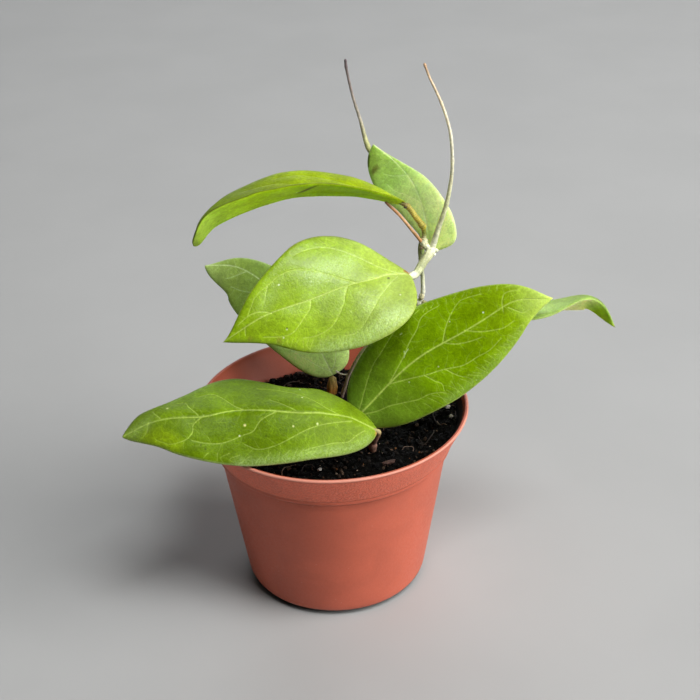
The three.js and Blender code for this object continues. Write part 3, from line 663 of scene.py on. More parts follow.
def even_places(path, step):
    """Lengths along a line: at each of its points, and at places `step` mm apart."""
    lengths = lengths_along(path)
    return lengths, np.linspace(0, lengths[-1], max(2, int(lengths[-1] / step) + 1))


def ring_faces(rings, sides):
    """Faces between rings of points, closed by one point before them and one after."""
    faces = []
    top = 1 + (rings - 1) * sides
    for k in range(sides):
        j = (k + 1) % sides
        faces.append((0, 1 + j, 1 + k))
        for low in range(1, top, sides):
            faces.append((low + k, low + j, low + sides + j, low + sides + k))
        faces.append((top + k, top + j, top + sides))
    return faces


def colour_stops(hex_colours, s):
    """Linear colours between evenly spread stops, at s = 0 to 1."""
    stops = np.array([linear(c) for c in hex_colours])
    places = np.linspace(0, 1, len(stops))
    return np.stack([np.interp(s, places, stops[:, i]) for i in range(3)], axis=-1)


def shaded(colour, shade):
    """A colour, or one for each vertex, times each vertex's grey value."""
    return np.clip(colour * shade[:, None], 0, 1)


def new_object(name, verts_mm, faces, material, tint=None, masks=None, sharp_angle=None):
    """A mesh object from vertices in mm, with a colour and float masks at its vertices."""
    mesh = bpy.data.meshes.new(name)
    places = (np.asarray(verts_mm, float) * MM).tolist()
    mesh.from_pydata(places, [], [list(map(int, face)) for face in faces])
    mesh.validate()
    mesh.polygons.foreach_set("use_smooth", [True] * len(mesh.polygons))
    if sharp_angle is not None:
        mesh.set_sharp_from_angle(angle=math.radians(sharp_angle))
    if tint is not None:
        layer = mesh.color_attributes.new("tint", "FLOAT_COLOR", "POINT")
        rgba = np.ones((len(mesh.vertices), 4), np.float32)
        rgba[:, :3] = tint
        layer.data.foreach_set("color", rgba.ravel())
    for mask_name, values in (masks or {}).items():
        layer = mesh.attributes.new(mask_name, "FLOAT", "POINT")
        layer.data.foreach_set("value", np.asarray(values, np.float32).ravel())
    mesh.materials.append(material)
    mesh.update()
    obj = bpy.data.objects.new(name, mesh)
    bpy.context.collection.objects.link(obj)
    return obj


class Pile:
    """Many small bodies collected into one mesh."""

    def __init__(self):
        self.verts = []
        self.faces = []
        self.tints = []
        self.count = 0

    def add(self, verts, faces, tint):
        self.verts.append(verts)
        self.faces += [[index + self.count for index in face] for face in faces]
        self.tints.append(np.broadcast_to(tint, (len(verts), 3)))
        self.count += len(verts)

    def build(self, name, material, sharp_angle=None):
        return new_object(name, np.vstack(self.verts), self.faces, material,
                          tint=np.vstack(self.tints), sharp_angle=sharp_angle)


def stands_for(obj, node):
    """Declares a piece that replaces a CAD node."""
    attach(obj, "root")
    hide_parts(node)


# ---- Materials ---------------------------------------------------------------------------------

class Nodes:
    """A node material under construction: a Principled shader and what feeds it."""

    def __init__(self, name):
        self.material = bpy.data.materials.new(name)
        self.material.use_nodes = True
        self.tree = self.material.node_tree
        self.shader = self.tree.nodes["Principled BSDF"]
        self.place = self.new("TexCoord").outputs["Object"]

    def link(self, value, socket):
        if isinstance(value, bpy.types.NodeSocket):
            self.tree.links.new(value, socket)
        else:
            socket.default_value = value

    def feed(self, node, inputs):
        """Links or sets inputs by name, where an underscore stands for a space."""
        for name, value in inputs.items():
            self.link(value, node.inputs[name.replace("_", " ")])

    def new(self, kind, **inputs):
        node = self.tree.nodes.new("ShaderNode" + kind)
        self.feed(node, inputs)
        return node

    def attribute(self, name, output="Fac"):
        node = self.new("Attribute")
        node.attribute_name = name
        return node.outputs[output]

    def noise(self, size_mm, detail=2.0, roughness=0.5, distortion=0.0):
        node = self.new("TexNoise", Vector=self.place, Scale=1 / (size_mm * MM), Detail=detail,
                        Roughness=roughness, Distortion=distortion)
        return node.outputs["Fac"]

    def cells(self, size_mm, feature="F1", output="Distance"):
        node = self.new("TexVoronoi", Vector=self.place, Scale=1 / (size_mm * MM))
        node.feature = feature
        return node.outputs[output]

    def maths(self, operation, a, b):
        node = self.new("Math")
        node.operation = operation
        self.link(a, node.inputs[0])
        self.link(b, node.inputs[1])
        return node.outputs[0]

    def times(self, a, b):
        return self.maths("MULTIPLY", a, b)

    def plus(self, a, b):
        return self.maths("ADD", a, b)

    def spread(self, value, from_low, from_high, to_low=0.0, to_high=1.0):
        node = self.new("MapRange", Value=value, From_Min=from_low, From_Max=from_high,
                        To_Min=to_low, To_Max=to_high)
        node.interpolation_type = "SMOOTHSTEP"
        return node.outputs["Result"]

    def patches(self, low, high, *noise):
        """Noise as soft patches from one value to another."""
        return self.spread(self.noise(*noise), 0.3, 0.7, low, high)

    def spots(self, size_mm, full, faded):
        """1 in the middle of each cell, down to 0 from one radius to the other."""
        return self.spread(self.cells(size_mm), full, faded, 1.0, 0.0)

    def mix(self, factor, a, b, blend_type="MIX"):
        node = self.new("Mix")
        node.data_type = "RGBA"
        node.blend_type = blend_type
        self.link(factor, node.inputs["Factor"])
        for value, index in ((a, 6), (b, 7)):
            if isinstance(value, str):
                value = (*linear(value), 1)
            self.link(value, node.inputs[index])
        return node.outputs[2]

    def shade(self, colour, value):
        """The colour times a grey value."""
        grey = self.new("CombineColor", Red=value, Green=value, Blue=value)
        return self.mix(1.0, colour, grey.outputs["Color"], "MULTIPLY")

    def tone(self, colour, mask, value):
        """The colour, times a grey value where the mask is 1."""
        return self.mix(mask, colour, self.shade(colour, value))

    def bump(self, height, distance_mm, strength):
        node = self.new("Bump", Strength=strength, Distance=distance_mm * MM, Height=height)
        return node.outputs["Normal"]

    def finish(self, colour, roughness, **inputs):
        self.feed(self.shader, {"Base Color": colour, "Roughness": roughness, **inputs})
        return self.material


def blade_material(name, specular, glow, netting, depth):
    """Thick waxy leaf: mottled green, a faint net between the veins, specks, pale dust with painted sheen,
    and a gloss.
    """
    n = Nodes(name)
    colour = n.shade(n.attribute("tint", "Color"), n.patches(0.88, 1.12, 4.5, 3, 0.6, 0.3))
    colour = n.shade(colour, n.spread(n.noise(0.8, 4, 0.7), 0.25, 0.75, 0.82, 1.18))
    net = n.spread(n.cells(2.4, "DISTANCE_TO_EDGE"), 0.0, 0.08, 1.0, 0.0)
    colour = n.tone(colour, n.times(net, n.spread(n.noise(3.2, 1), 0.3, 0.65, 0.0, netting)), 1.6)
    for size_mm, full, faded, without, strength, speck_colour in LEAF_SPECKS:
        chosen = n.spread(n.cells(size_mm, output="Color"), without, without + 0.02)
        speck = n.times(n.spots(size_mm, full, faded), chosen)
        colour = n.mix(n.times(speck, strength), colour, speck_colour)
    # Pale bands, partly dust and partly a painted sheen, broken up by noise.
    dust_and_sheen_amount = n.times(n.attribute("dust_and_sheen"), n.spread(n.noise(0.5, 3, 0.7), 0.35, 0.65, 0.25, 1.0))
    colour = n.mix(dust_and_sheen_amount, colour, DUST_AND_SHEEN_COLOUR)
    roughness = n.plus(n.patches(0.28, 0.38, 2.2, 3, 0.6), n.times(n.attribute("under"), 0.2))
    pores = n.times(n.noise(0.55, 3, 0.6), 0.9)
    height = n.plus(pores, n.times(n.attribute("vein"), -0.5))
    return n.finish(colour, roughness, Normal=n.bump(height, 0.16, 0.7), Subsurface_Weight=glow,
                    Subsurface_Radius=(0.9, 1.2, 0.3), Subsurface_Scale=depth * MM,
                    Specular_IOR_Level=specular)


def shoot_material(name, roughness_low, roughness_high, subsurface):
    """Skin of a stem: its own colour along it, streaks, small warts and a dry or waxy finish."""
    n = Nodes(name)
    colour = n.shade(n.attribute("tint", "Color"), n.patches(0.76, 1.2, 1.6, 4, 0.65))
    colour = n.shade(colour, n.patches(0.86, 1.12, 0.35, 3, 0.6))
    warts = n.spots(0.9, 0.1, 0.28)
    colour = n.tone(colour, n.times(warts, 0.25), 1.5)
    height = n.plus(n.noise(0.4, 3, 0.6), n.times(warts, 0.4))
    return n.finish(colour, n.patches(roughness_low, roughness_high, 0.8, 2),
                    Normal=n.bump(height, 0.12, 0.7), Subsurface_Weight=subsurface,
                    Subsurface_Radius=(1.0, 0.8, 0.3), Subsurface_Scale=0.6 * MM)


def pot_material():
    """Terracotta-coloured moulded plastic: a pebbled collar, and a wall with faint flow marks."""
    n = Nodes("terracotta_plastic")
    grained = n.attribute("grained")
    pebbles = n.noise(0.55, 2, 0.5)
    colour = n.shade(POT_COLOUR, n.patches(0.94, 1.06, 14, 3, 0.5, 0.6))
    # Painted highlight: the top of the lip is mixed towards a pale colour.
    colour = n.mix(n.times(n.attribute("painted_lip_highlight"), LIP_PAINTED_HIGHLIGHT_STRENGTH), colour, LIP_PAINTED_HIGHLIGHT_COLOUR)
    # Painted light: the pebbled collar is made lighter.
    colour = n.tone(colour, grained, COLLAR_PAINTED_LIGHT)
    # Painted shade in the groove under the ledge.
    colour = n.tone(colour, n.attribute("groove"), GROOVE_PAINTED_SHADE)
    # Painted shade over the whole inside.
    colour = n.tone(colour, n.attribute("inside"), INSIDE_PAINTED_SHADE)
    # Painted shade and light on the pebbling: the colour follows the pebbles' height, darker in their pits
    # and lighter on their tops.
    fine = n.spread(pebbles, 0.3, 0.7, 0.9, 1.1)
    colour = n.tone(colour, n.plus(n.times(grained, 0.8), 0.2), fine)
    colour = n.mix(n.times(n.spots(3.4, 0.03, 0.06), 0.25), colour, "d8b0a0")
    # Painted shade on the inner wall above the soil: near black, broken into blotches.
    blotchy_shade = n.plus(n.attribute("shade_above_soil"), n.patches(-0.35, 0.2, 1.1, 4, 0.7))
    colour = n.mix(n.spread(blotchy_shade, 0.25, 0.55), colour, "0c0906")
    height = n.times(pebbles, n.plus(n.times(grained, 0.88), 0.12))
    return n.finish(colour, n.patches(0.42, 0.56, 0.8, 3, 0.6), Normal=n.bump(height, 0.3, 0.9),
                    Subsurface_Weight=0.05, Subsurface_Radius=(1.0, 0.4, 0.2),
                    Subsurface_Scale=1 * MM, Specular_IOR_Level=0.36)


def earth_material(name, grit, specular):
    """Moist peat: near-black, with browner grains and small wet glints."""
    n = Nodes(name)
    colour = n.shade(n.attribute("tint", "Color"), n.patches(0.55, 1.7, grit * 2.4, 5, 0.7))
    roughness = n.spread(n.noise(grit, 3, 0.6), 0.35, 0.65, 0.3, 0.95)
    height = n.plus(n.noise(grit * 0.5, 5, 0.7), n.times(n.cells(grit), 0.5))
    return n.finish(colour, roughness, Normal=n.bump(height, 0.5, 0.9), Specular_IOR_Level=specular)


def grain_material(name, roughness, pits):
    """A loose bit: its own colour, broken up by pits and streaks."""
    n = Nodes(name)
    colour = n.shade(n.attribute("tint", "Color"), n.patches(0.7, 1.2, pits * 2, 4, 0.7))
    height = n.plus(n.noise(pits, 4, 0.65), n.times(n.cells(pits * 1.4), 0.6))
    return n.finish(colour, roughness, Normal=n.bump(height, 0.25, 0.8))


def floor_material():
    n = Nodes("pale_floor")
    return n.finish(n.shade(FLOOR_COLOUR, n.patches(0.98, 1.02, 60, 3, 0.5)), 0.6)


# ---- Pot ---------------------------------------------------------------------------------------

def wall_radius(z):
    return WALL_FOOT_RADIUS + (WALL_TOP_RADIUS - WALL_FOOT_RADIUS) * z / COLLAR_FOOT_Z


def inner_radius(z):
    """Radius of the pot's inner face, the wall's and then the collar's."""
    heights = (0, COLLAR_FOOT_Z, LIP_ROLL_Z)
    radii = (WALL_FOOT_RADIUS - WALL, wall_radius(COLLAR_FOOT_Z) - WALL, RIM_RADIUS - LIP_WIDTH)
    return np.interp(z, heights, radii)


def arc(radius_centre, z_centre, radius, start, end, steps):
    angles = np.radians(np.linspace(start, end, steps + 1))
    return [(radius_centre + radius * math.cos(a), z_centre + radius * math.sin(a)) for a in angles]


def straight(start, end, steps):
    """Points between two profile points, without the ends."""
    return [(start[0] + (end[0] - start[0]) * i / steps, start[1] + (end[1] - start[1]) * i / steps)
            for i in range(1, steps)]


def pot_profile():
    """Half a section of the pot, up the outside, over the lip and down the inside."""
    corner = wall_radius(CORNER_RADIUS) - CORNER_RADIUS
    step = wall_radius(COLLAR_FOOT_Z)
    wall_foot = arc(corner, CORNER_RADIUS, CORNER_RADIUS, -90, -10, 14)
    wall_top = (step - 0.1, COLLAR_FOOT_Z - 1.1)
    groove = [(step + out, COLLAR_FOOT_Z + up) for out, up in GROOVE]
    ledge = [(step + COLLAR_STEP + out, COLLAR_FOOT_Z + up) for out, up in LEDGE]
    collar_top = (COLLAR_TOP_RADIUS, LIP_ROLL_Z - 1.0)
    lip_out = arc(RIM_RADIUS - LIP_ROLL, LIP_ROLL_Z, LIP_ROLL, -65, 90, 12)
    lip_in = arc(RIM_RADIUS - LIP_WIDTH + LIP_ROLL, LIP_ROLL_Z, LIP_ROLL, 90, 180, 8)
    inner_step = (inner_radius(COLLAR_FOOT_Z), COLLAR_FOOT_Z)
    inner_foot = arc(corner, CORNER_RADIUS, CORNER_RADIUS - FLOOR, -10, -90, 8)
    outside = [(0, 0), *straight((0, 0), wall_foot[0], 6), *wall_foot,
               *straight(wall_foot[-1], wall_top, 10), wall_top, *groove, *ledge,
               *straight(ledge[-1], collar_top, 6), collar_top, *lip_out]
    inside = [*lip_in, *straight(lip_in[-1], inner_step, 6), inner_step,
              *straight(inner_step, inner_foot[0], 8), *inner_foot,
              *straight(inner_foot[-1], (0, FLOOR), 5), (0, FLOOR)]
    return outside + inside


def revolve(profile, sides, warp=None):
    """Vertices and faces of a profile, from axis to axis, turned about +Z."""
    angles = circle_angles(sides)
    verts = [(0.0, 0.0, profile[0][1])]
    for radius, z in profile[1:-1]:
        r = np.full(sides, radius) if warp is None else warp(radius, z, angles)
        verts.extend(zip(r * np.cos(angles), r * np.sin(angles), np.full(sides, z)))
    verts.append((0.0, 0.0, profile[-1][1]))
    return np.array(verts), ring_faces(len(profile) - 2, sides)


def pot_warp(radius, z, angles):
    """Thin plastic isn't quite round: it draws in a little on two sides towards the rim."""
    depth = POT_WARP * (z / POT_HEIGHT) ** 2
    return radius * (1 + depth * (np.cos(2 * (angles - POT_WARP_TURN)) - 1))


def hole_cutters():
    """Vertices and faces of a cylinder through the pot's floor for each drain hole."""
    verts = []
    faces = []
    for turn in circle_angles(DRAIN_HOLES):
        x, y = DRAIN_CIRCLE_RADIUS * math.cos(turn), DRAIN_CIRCLE_RADIUS * math.sin(turn)
        low = range(len(verts), len(verts) + HOLE_SIDES)
        high = range(low.stop, low.stop + HOLE_SIDES)
        for z in (-2 * FLOOR, 2 * FLOOR):
            verts.extend((x + DRAIN_HOLE_RADIUS * math.cos(a), y + DRAIN_HOLE_RADIUS * math.sin(a), z)
                         for a in circle_angles(HOLE_SIDES))
        for k in range(HOLE_SIDES):
            j = (k + 1) % HOLE_SIDES
            faces.append((low[k], low[j], high[j], high[k]))
        faces += [tuple(reversed(low)), tuple(high)]
    return verts, faces


def cut_holes(obj):
    """Cuts the drain holes through the pot's floor."""
    cutter = new_object("drain_cutter", *hole_cutters(), obj.data.materials[0])
    modifier = obj.modifiers.new("holes", "BOOLEAN")
    modifier.object = cutter
    modifier.operation = "DIFFERENCE"
    modifier.solver = "EXACT"
    bpy.context.view_layer.update()
    evaluated = obj.evaluated_get(bpy.context.evaluated_depsgraph_get())
    cut = bpy.data.meshes.new_from_object(evaluated)
    obj.modifiers.clear()
    obj.data = cut
    bpy.data.objects.remove(cutter)


def pot_masks(verts):
    """Where the pot is pebbled, and where it gets a painted highlight at the lip, and painted shade in the
    groove, on the inner wall above the soil and all over its inside.
    """
    x, y, z = verts.T
    outside = np.hypot(x, y) > inner_radius(z) + 0.5
    # A band of painted shade on the inner wall just above the soil, taller where the soil is banked up.
    reach = 0.5 + 3.2 * soil_rise(x, y) / SOIL_RISE
    shade_above_soil = np.clip(1.5 - (z - soil_height(x, y)) / reach, 0, 1)
    return {
        "grained": outside & (z > COLLAR_FOOT_Z + 1.5) & (z < LIP_ROLL_Z - 0.9),
        # Where the lip gets its painted highlight.
        "painted_lip_highlight": outside & (z > LIP_ROLL_Z - 0.1),
        "shade_above_soil": np.where(outside | (z > LIP_ROLL_Z - 0.4), 0, shade_above_soil),
        # Where the groove under the ledge gets its painted shade.
        "groove": outside & (np.abs(z - COLLAR_FOOT_Z + 0.2) < 0.32),
        # Where the painted shade of the inside goes.
        "inside": ~outside,
    }


def build_pot():
    verts, faces = revolve(pot_profile(), POT_SIDES, pot_warp)
    pot = new_object("terracotta_pot", verts, faces, pot_material(), masks=pot_masks(verts))
    cut_holes(pot)
    pot.data.set_sharp_from_angle(angle=math.radians(50))
    stands_for(pot, "nursery_pot")


# ---- Soil --------------------------------------------------------------------------------------

def soil_rise(x, y):
    """How much higher the soil is banked up towards one side."""
    angle = math.radians(SOIL_RISE_ANGLE)
    along = x * math.cos(angle) + y * math.sin(angle)
    t = np.clip((along - SOIL_RISE_START) / (SOIL_RISE_END - SOIL_RISE_START), 0, 1)
    return SOIL_RISE * t * t * (3 - 2 * t)


def soil_height(x, y):
    edge = inner_radius(SOIL_EDGE_Z)
    crown = SOIL_CROWN * (1 - (np.hypot(x, y) / edge) ** 2)
    return SOIL_EDGE_Z + np.maximum(crown, 0) + soil_rise(x, y)


def soil_relief(x, y):
    """How far the soil's surface stands above or below its even crown."""
    points = np.stack([x, y, np.zeros_like(x)], axis=-1)
    (hollow, hollow_size), (clod, clod_size) = SOIL_HOLLOWS, SOIL_CLODS
    return hollow * rough_noise(points, hollow_size, 61) + clod * rough_noise(points, clod_size, 67)


def build_soil(material):
    edge = inner_radius(SOIL_EDGE_Z) - SOIL_GAP
    corner = wall_radius(CORNER_RADIUS) - CORNER_RADIUS
    base = [(0, FLOOR + SOIL_GAP),
            *arc(corner, CORNER_RADIUS, CORNER_RADIUS - FLOOR - SOIL_GAP, -90, -10, 6),
            (inner_radius(COLLAR_FOOT_Z) - SOIL_GAP, COLLAR_FOOT_Z), (edge, SOIL_EDGE_Z - 0.6)]
    top = [(r, SOIL_EDGE_Z) for r in np.linspace(edge, 0, SOIL_RINGS)]
    verts, faces = revolve([*base, *top], SOIL_SIDES)
    x, y, z = verts.T
    on_top = z > SOIL_EDGE_Z - 0.3
    upper = z > SOIL_EDGE_Z - 0.7
    rise = np.where(upper, soil_rise(x, y), 0)
    widening = (inner_radius(SOIL_EDGE_Z + rise) - SOIL_GAP) / edge
    verts[:, :2] *= np.where(upper, widening, 1)[:, None]
    fade = np.clip((edge * widening - np.hypot(x, y)) / 2.0, 0.25, 1)
    ground = soil_height(x, y) + soil_relief(x, y) * fade
    verts[:, 2] = np.where(on_top, ground, z + rise)
    shades = rough_noise(verts, 2.2, 71)
    tint = linear(SOIL_COLOUR) * (1 + 0.5 * shades[:, None])
    soil = new_object("peat_soil", verts, faces, material, tint=np.clip(tint, 0.0006, 1))
    stands_for(soil, "potting_soil")


def icosphere(subdivisions):
    """Vertices and faces of a unit icosphere."""
    phi = (1 + 5 ** 0.5) / 2
    verts = [(-1, phi, 0), (1, phi, 0), (-1, -phi, 0), (1, -phi, 0), (0, -1, phi), (0, 1, phi),
             (0, -1, -phi), (0, 1, -phi), (phi, 0, -1), (phi, 0, 1), (-phi, 0, -1), (-phi, 0, 1)]
    verts = [tuple(v) for v in unit(np.array(verts, float))]
    faces = [(0, 11, 5), (0, 5, 1), (0, 1, 7), (0, 7, 10), (0, 10, 11), (1, 5, 9), (5, 11, 4),
             (11, 10, 2), (10, 7, 6), (7, 1, 8), (3, 9, 4), (3, 4, 2), (3, 2, 6), (3, 6, 8),
             (3, 8, 9), (4, 9, 5), (2, 4, 11), (6, 2, 10), (8, 6, 7), (9, 8, 1)]
    for _ in range(subdivisions):
        middles = {}

        def middle(a, b):
            key = (min(a, b), max(a, b))
            if key not in middles:
                middles[key] = len(verts)
                verts.append(tuple(unit(np.array(verts[a]) + np.array(verts[b]))))
            return middles[key]

        split = []
        for a, b, c in faces:
            ab, bc, ca = middle(a, b), middle(b, c), middle(c, a)
            split += [(a, ab, ca), (b, bc, ab), (c, ca, bc), (ab, bc, ca)]
        faces = split
    return np.array(verts), np.array(faces)


def random_turn(rng):
    """A random rotation matrix."""
    matrix, _ = np.linalg.qr(rng.normal(size=(3, 3)))
    return matrix * np.sign(np.linalg.det(matrix))


def lump(shape, size, rng, roughness):
    """An angular crumb: a unit sphere's corners moved in and out, stretched and turned."""
    verts = shape * (1 + roughness * rng.uniform(-1, 1, (len(shape), 1)))
    verts = verts * np.array([1.0, rng.uniform(0.55, 0.95), rng.uniform(0.45, 0.8)])
    return (verts @ random_turn(rng).T) * size / 2


def on_soil(rng):
    """A random place on the soil, clear of its edge."""
    radius = math.sqrt(rng.uniform())
    angle = rng.uniform(0, 2 * math.pi)
    return ground_at(SOIL_REACH * radius * math.cos(angle), SOIL_REACH * radius * math.sin(angle))


def ground_at(x, y):
    """A place on the soil's surface, drawn in from the pot's wall where it needs to be."""
    for _ in range(3):
        limit = inner_radius(SOIL_EDGE_Z + float(soil_rise(x, y))) - SOIL_CLEARANCE
        scale = min(1.0, limit / max(math.hypot(x, y), 1e-6))
        x, y = x * scale, y * scale
    return np.array([x, y, float(soil_height(x, y)) + soil_relief(np.array([x]), np.array([y]))[0]])


def build_crumbs(material):
    rng = np.random.RandomState(7)
    shape, faces = icosphere(1)
    pile = Pile()
    for _ in range(CRUMBS):
        size = blend(*CRUMB_SIZES, rng.uniform() ** CRUMB_SKEW)
        rare = rng.uniform() < RARE_CRUMBS
        choices = RARE_CRUMB_COLOURS if rare else CRUMB_COLOURS
        colour = linear(choices[rng.randint(len(choices))])
        if rare:
            size = min(size, RARE_CRUMB_LARGEST)
        place = on_soil(rng)
        place[2] += size * rng.uniform(*CRUMB_SINK)
        pile.add(lump(shape, size, rng, CRUMB_ROUGHNESS) + place, faces, colour)
    crumbs = pile.build("soil_crumbs", material, sharp_angle=35)
    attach(crumbs, "root")


# ---- Shoots ------------------------------------------------------------------------------------

def shoot_path(points, radii, step, knots):
    """A shoot's centres, closer together at its ends, their radii and places along it, its length."""
    samples = np.linspace(0, 1, PATH_SAMPLES)
    lengths = lengths_along(spline(points, samples))
    total = lengths[-1]
    s = np.linspace(0, 1, max(8, int(total / step)) + 1)
    s = 0.93 * s + 0.07 * (1 - np.cos(math.pi * s)) / 2
    place = np.interp(s * total, lengths, samples)
    radius = np.interp(place, np.linspace(0, 1, len(radii)), radii)
    for where, extra, half in knots:
        radius = radius + extra * np.exp(-(((s - where) * total) / half) ** 2)
    return spline(points, place), radius, s, total


def shoot_rings(centres, radii, from_end, angles):
    """Points in rings around the centres that close towards the ends, and one point beyond each."""
    tangents = unit(np.gradient(centres, axis=0))
    first, last = tangents[0], tangents[-1]
    normal = unit(np.cross(first, (0.3, 0.2, 1.0) if abs(first[2]) < 0.9 else (1.0, 0.2, 0.1)))
    verts = [centres[0] - first * radii[0] * 0.5]
    for centre, tangent, radius, distance in zip(centres, tangents, radii, from_end):
        normal = unit(normal - tangent * np.dot(normal, tangent))
        binormal = np.cross(tangent, normal)
        closing = math.sqrt(max(0.0, 1 - max(0.0, 1 - (distance / radius) - 0.35) ** 2))
        verts.extend(centre + radius * closing * (
            np.cos(angles)[:, None] * normal + np.sin(angles)[:, None] * binormal))
    verts.append(centres[-1] + last * radii[-1] * 0.5)
    return np.array(verts)


def sweep(points, radii, sides, step, knots=(), seed=0, creases=NO_RINGS, flutes=NO_FLUTES):
    """A round body along a curve, with rounded ends: vertices, faces, place along it and relief."""
    centres, radius, s, total = shoot_path(points, radii, step, knots)
    angles = circle_angles(sides)
    verts = shoot_rings(centres, radius, np.minimum(s, 1 - s) * total, angles)
    ring = np.repeat(np.arange(len(s)), sides)
    ring = np.concatenate([[0], ring, [len(s) - 1]])
    along = s[ring]
    around = np.concatenate([[0], np.tile(angles, len(s)), [0]])
    drift = rough_noise(verts, 1.6, seed + 9, 2)
    (depth, spacing), (count, furrow) = creases, flutes
    relief = WOBBLE * rough_noise(verts, 1.3, seed, 2)
    relief += depth * (np.cos(2 * math.pi * along * total / spacing + 1.5 * drift) - 0.4)
    relief += furrow * np.cos(count * around + 2.5 * along * total / 3 + 2 * drift)
    verts = verts + (verts - centres[ring]) * relief[:, None]
    return verts, ring_faces(len(s), sides), along, relief


def build_stem(name, stem, material):
    verts, faces, along, relief = sweep(
        stem["points"], stem["radii"], FLUTED_SIDES if "flutes" in stem else STEM_SIDES,
        RINGED_STEP if "rings" in stem else STEM_STEP, stem.get("knots", ()), stem["seed"],
        stem.get("rings", NO_RINGS), stem.get("flutes", NO_FLUTES))
    # Painted shade and light: darker where the surface is sunk, lighter where it stands out.
    shade = np.clip(1 + CREASE_PAINTED_SHADE * relief, *CREASE_PAINTED_SHADE_LIMITS)
    obj = new_object(name + "_shoot", verts, faces, material,
                     tint=shaded(colour_stops(stem["colours"], along), shade))
    stands_for(obj, name)


def build_nodes(material):
    """The knobby swellings where leaves and shoots part from the vine."""
    shape, faces = icosphere(3)
    pile = Pile()
    for k, (centre, radius, height, colour) in enumerate(NODES):
        lumps = 1 + 0.2 * rough_noise(shape * 3 + 10 * k, 2.4, 91 + k)
        ball = shape * lumps[:, None] * (radius, radius, height)
        shade = 1 + 0.35 * rough_noise(ball, 0.7, 95 + k, 2)
        pile.add(ball + centre, faces, shaded(linear(colour), shade))
    knobs = pile.build("stem_nodes", material)
    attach(knobs, "root")


def fibre_path(start, rng):
    """A curled line over the soil, with its start just under the surface."""
    heading = rng.uniform(0, 2 * math.pi)
    curl = rng.uniform(*FIBRE_CURL)
    step = rng.uniform(*FIBRE_STEP)
    points = [start + (0, 0, -0.3)]
    for i in range(1, FIBRE_STEPS + 1):
        heading += curl * rng.uniform(0.4, 1.0)
        x, y = points[-1][:2] + step * np.array([math.cos(heading), math.sin(heading)])
        lift = rng.uniform(0.1, 0.9) * math.sin(math.pi * i / FIBRE_STEPS)
        points.append(ground_at(x, y) + (0, 0, lift))
    return points


def build_fibres(material):
    """Curled root and coir fibres on the soil."""
    rng = np.random.RandomState(17)
    pile = Pile()
    for _ in range(FIBRES):
        start = on_soil(rng)
        if np.hypot(*(start[:2] - SURFACE_BITS["bark_chip"]["at"])) < CHIP_CLEARANCE:
            continue
        points = fibre_path(start, rng)
        thick = rng.uniform(*FIBRE_RADIUS)
        radii = [thick, thick * 1.1, thick, thick * 0.6]
        verts, faces, _, _ = sweep(points, radii, FIBRE_SIDES, FIBRE_RING_STEP, seed=81)
        pile.add(verts, faces, linear(FIBRE_COLOURS[rng.randint(len(FIBRE_COLOURS))]))
    fibres = pile.build("soil_fibres", material)
    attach(fibres, "root")


def build_bit(name, bit, material):
    """A loose bit in place of a CAD one: the same box, with a broken surface."""
    shape, faces = icosphere(3)
    size = np.array(bit["size"])
    broken = 0.3 if bit["slot"] == "bark" else 0.22
    radial = 1 + broken * (rough_noise(shape * 4, 2.6, bit["seed"]) - 1)
    verts = shape * radial[:, None] * size / 2
    cos, sin = math.cos(math.radians(bit["turn"])), math.sin(math.radians(bit["turn"]))
    spin = np.array([[cos, -sin, 0], [sin, cos, 0], [0, 0, 1]])
    x, y = bit["at"]
    height = soil_height(x, y) + BIT_GAP + size[2] / 2
    verts = verts @ spin.T + (x, y, height)
    shade = 1 + 0.5 * (rough_noise(verts, 0.8, bit["seed"] + 5) - 0.4)
    obj = new_object(name + "_piece", verts, faces, material,
                     tint=shaded(linear(bit["colour"]), shade), sharp_angle=40)
    stands_for(obj, name)


# ---- Leaves ------------------------------------------------------------------------------------

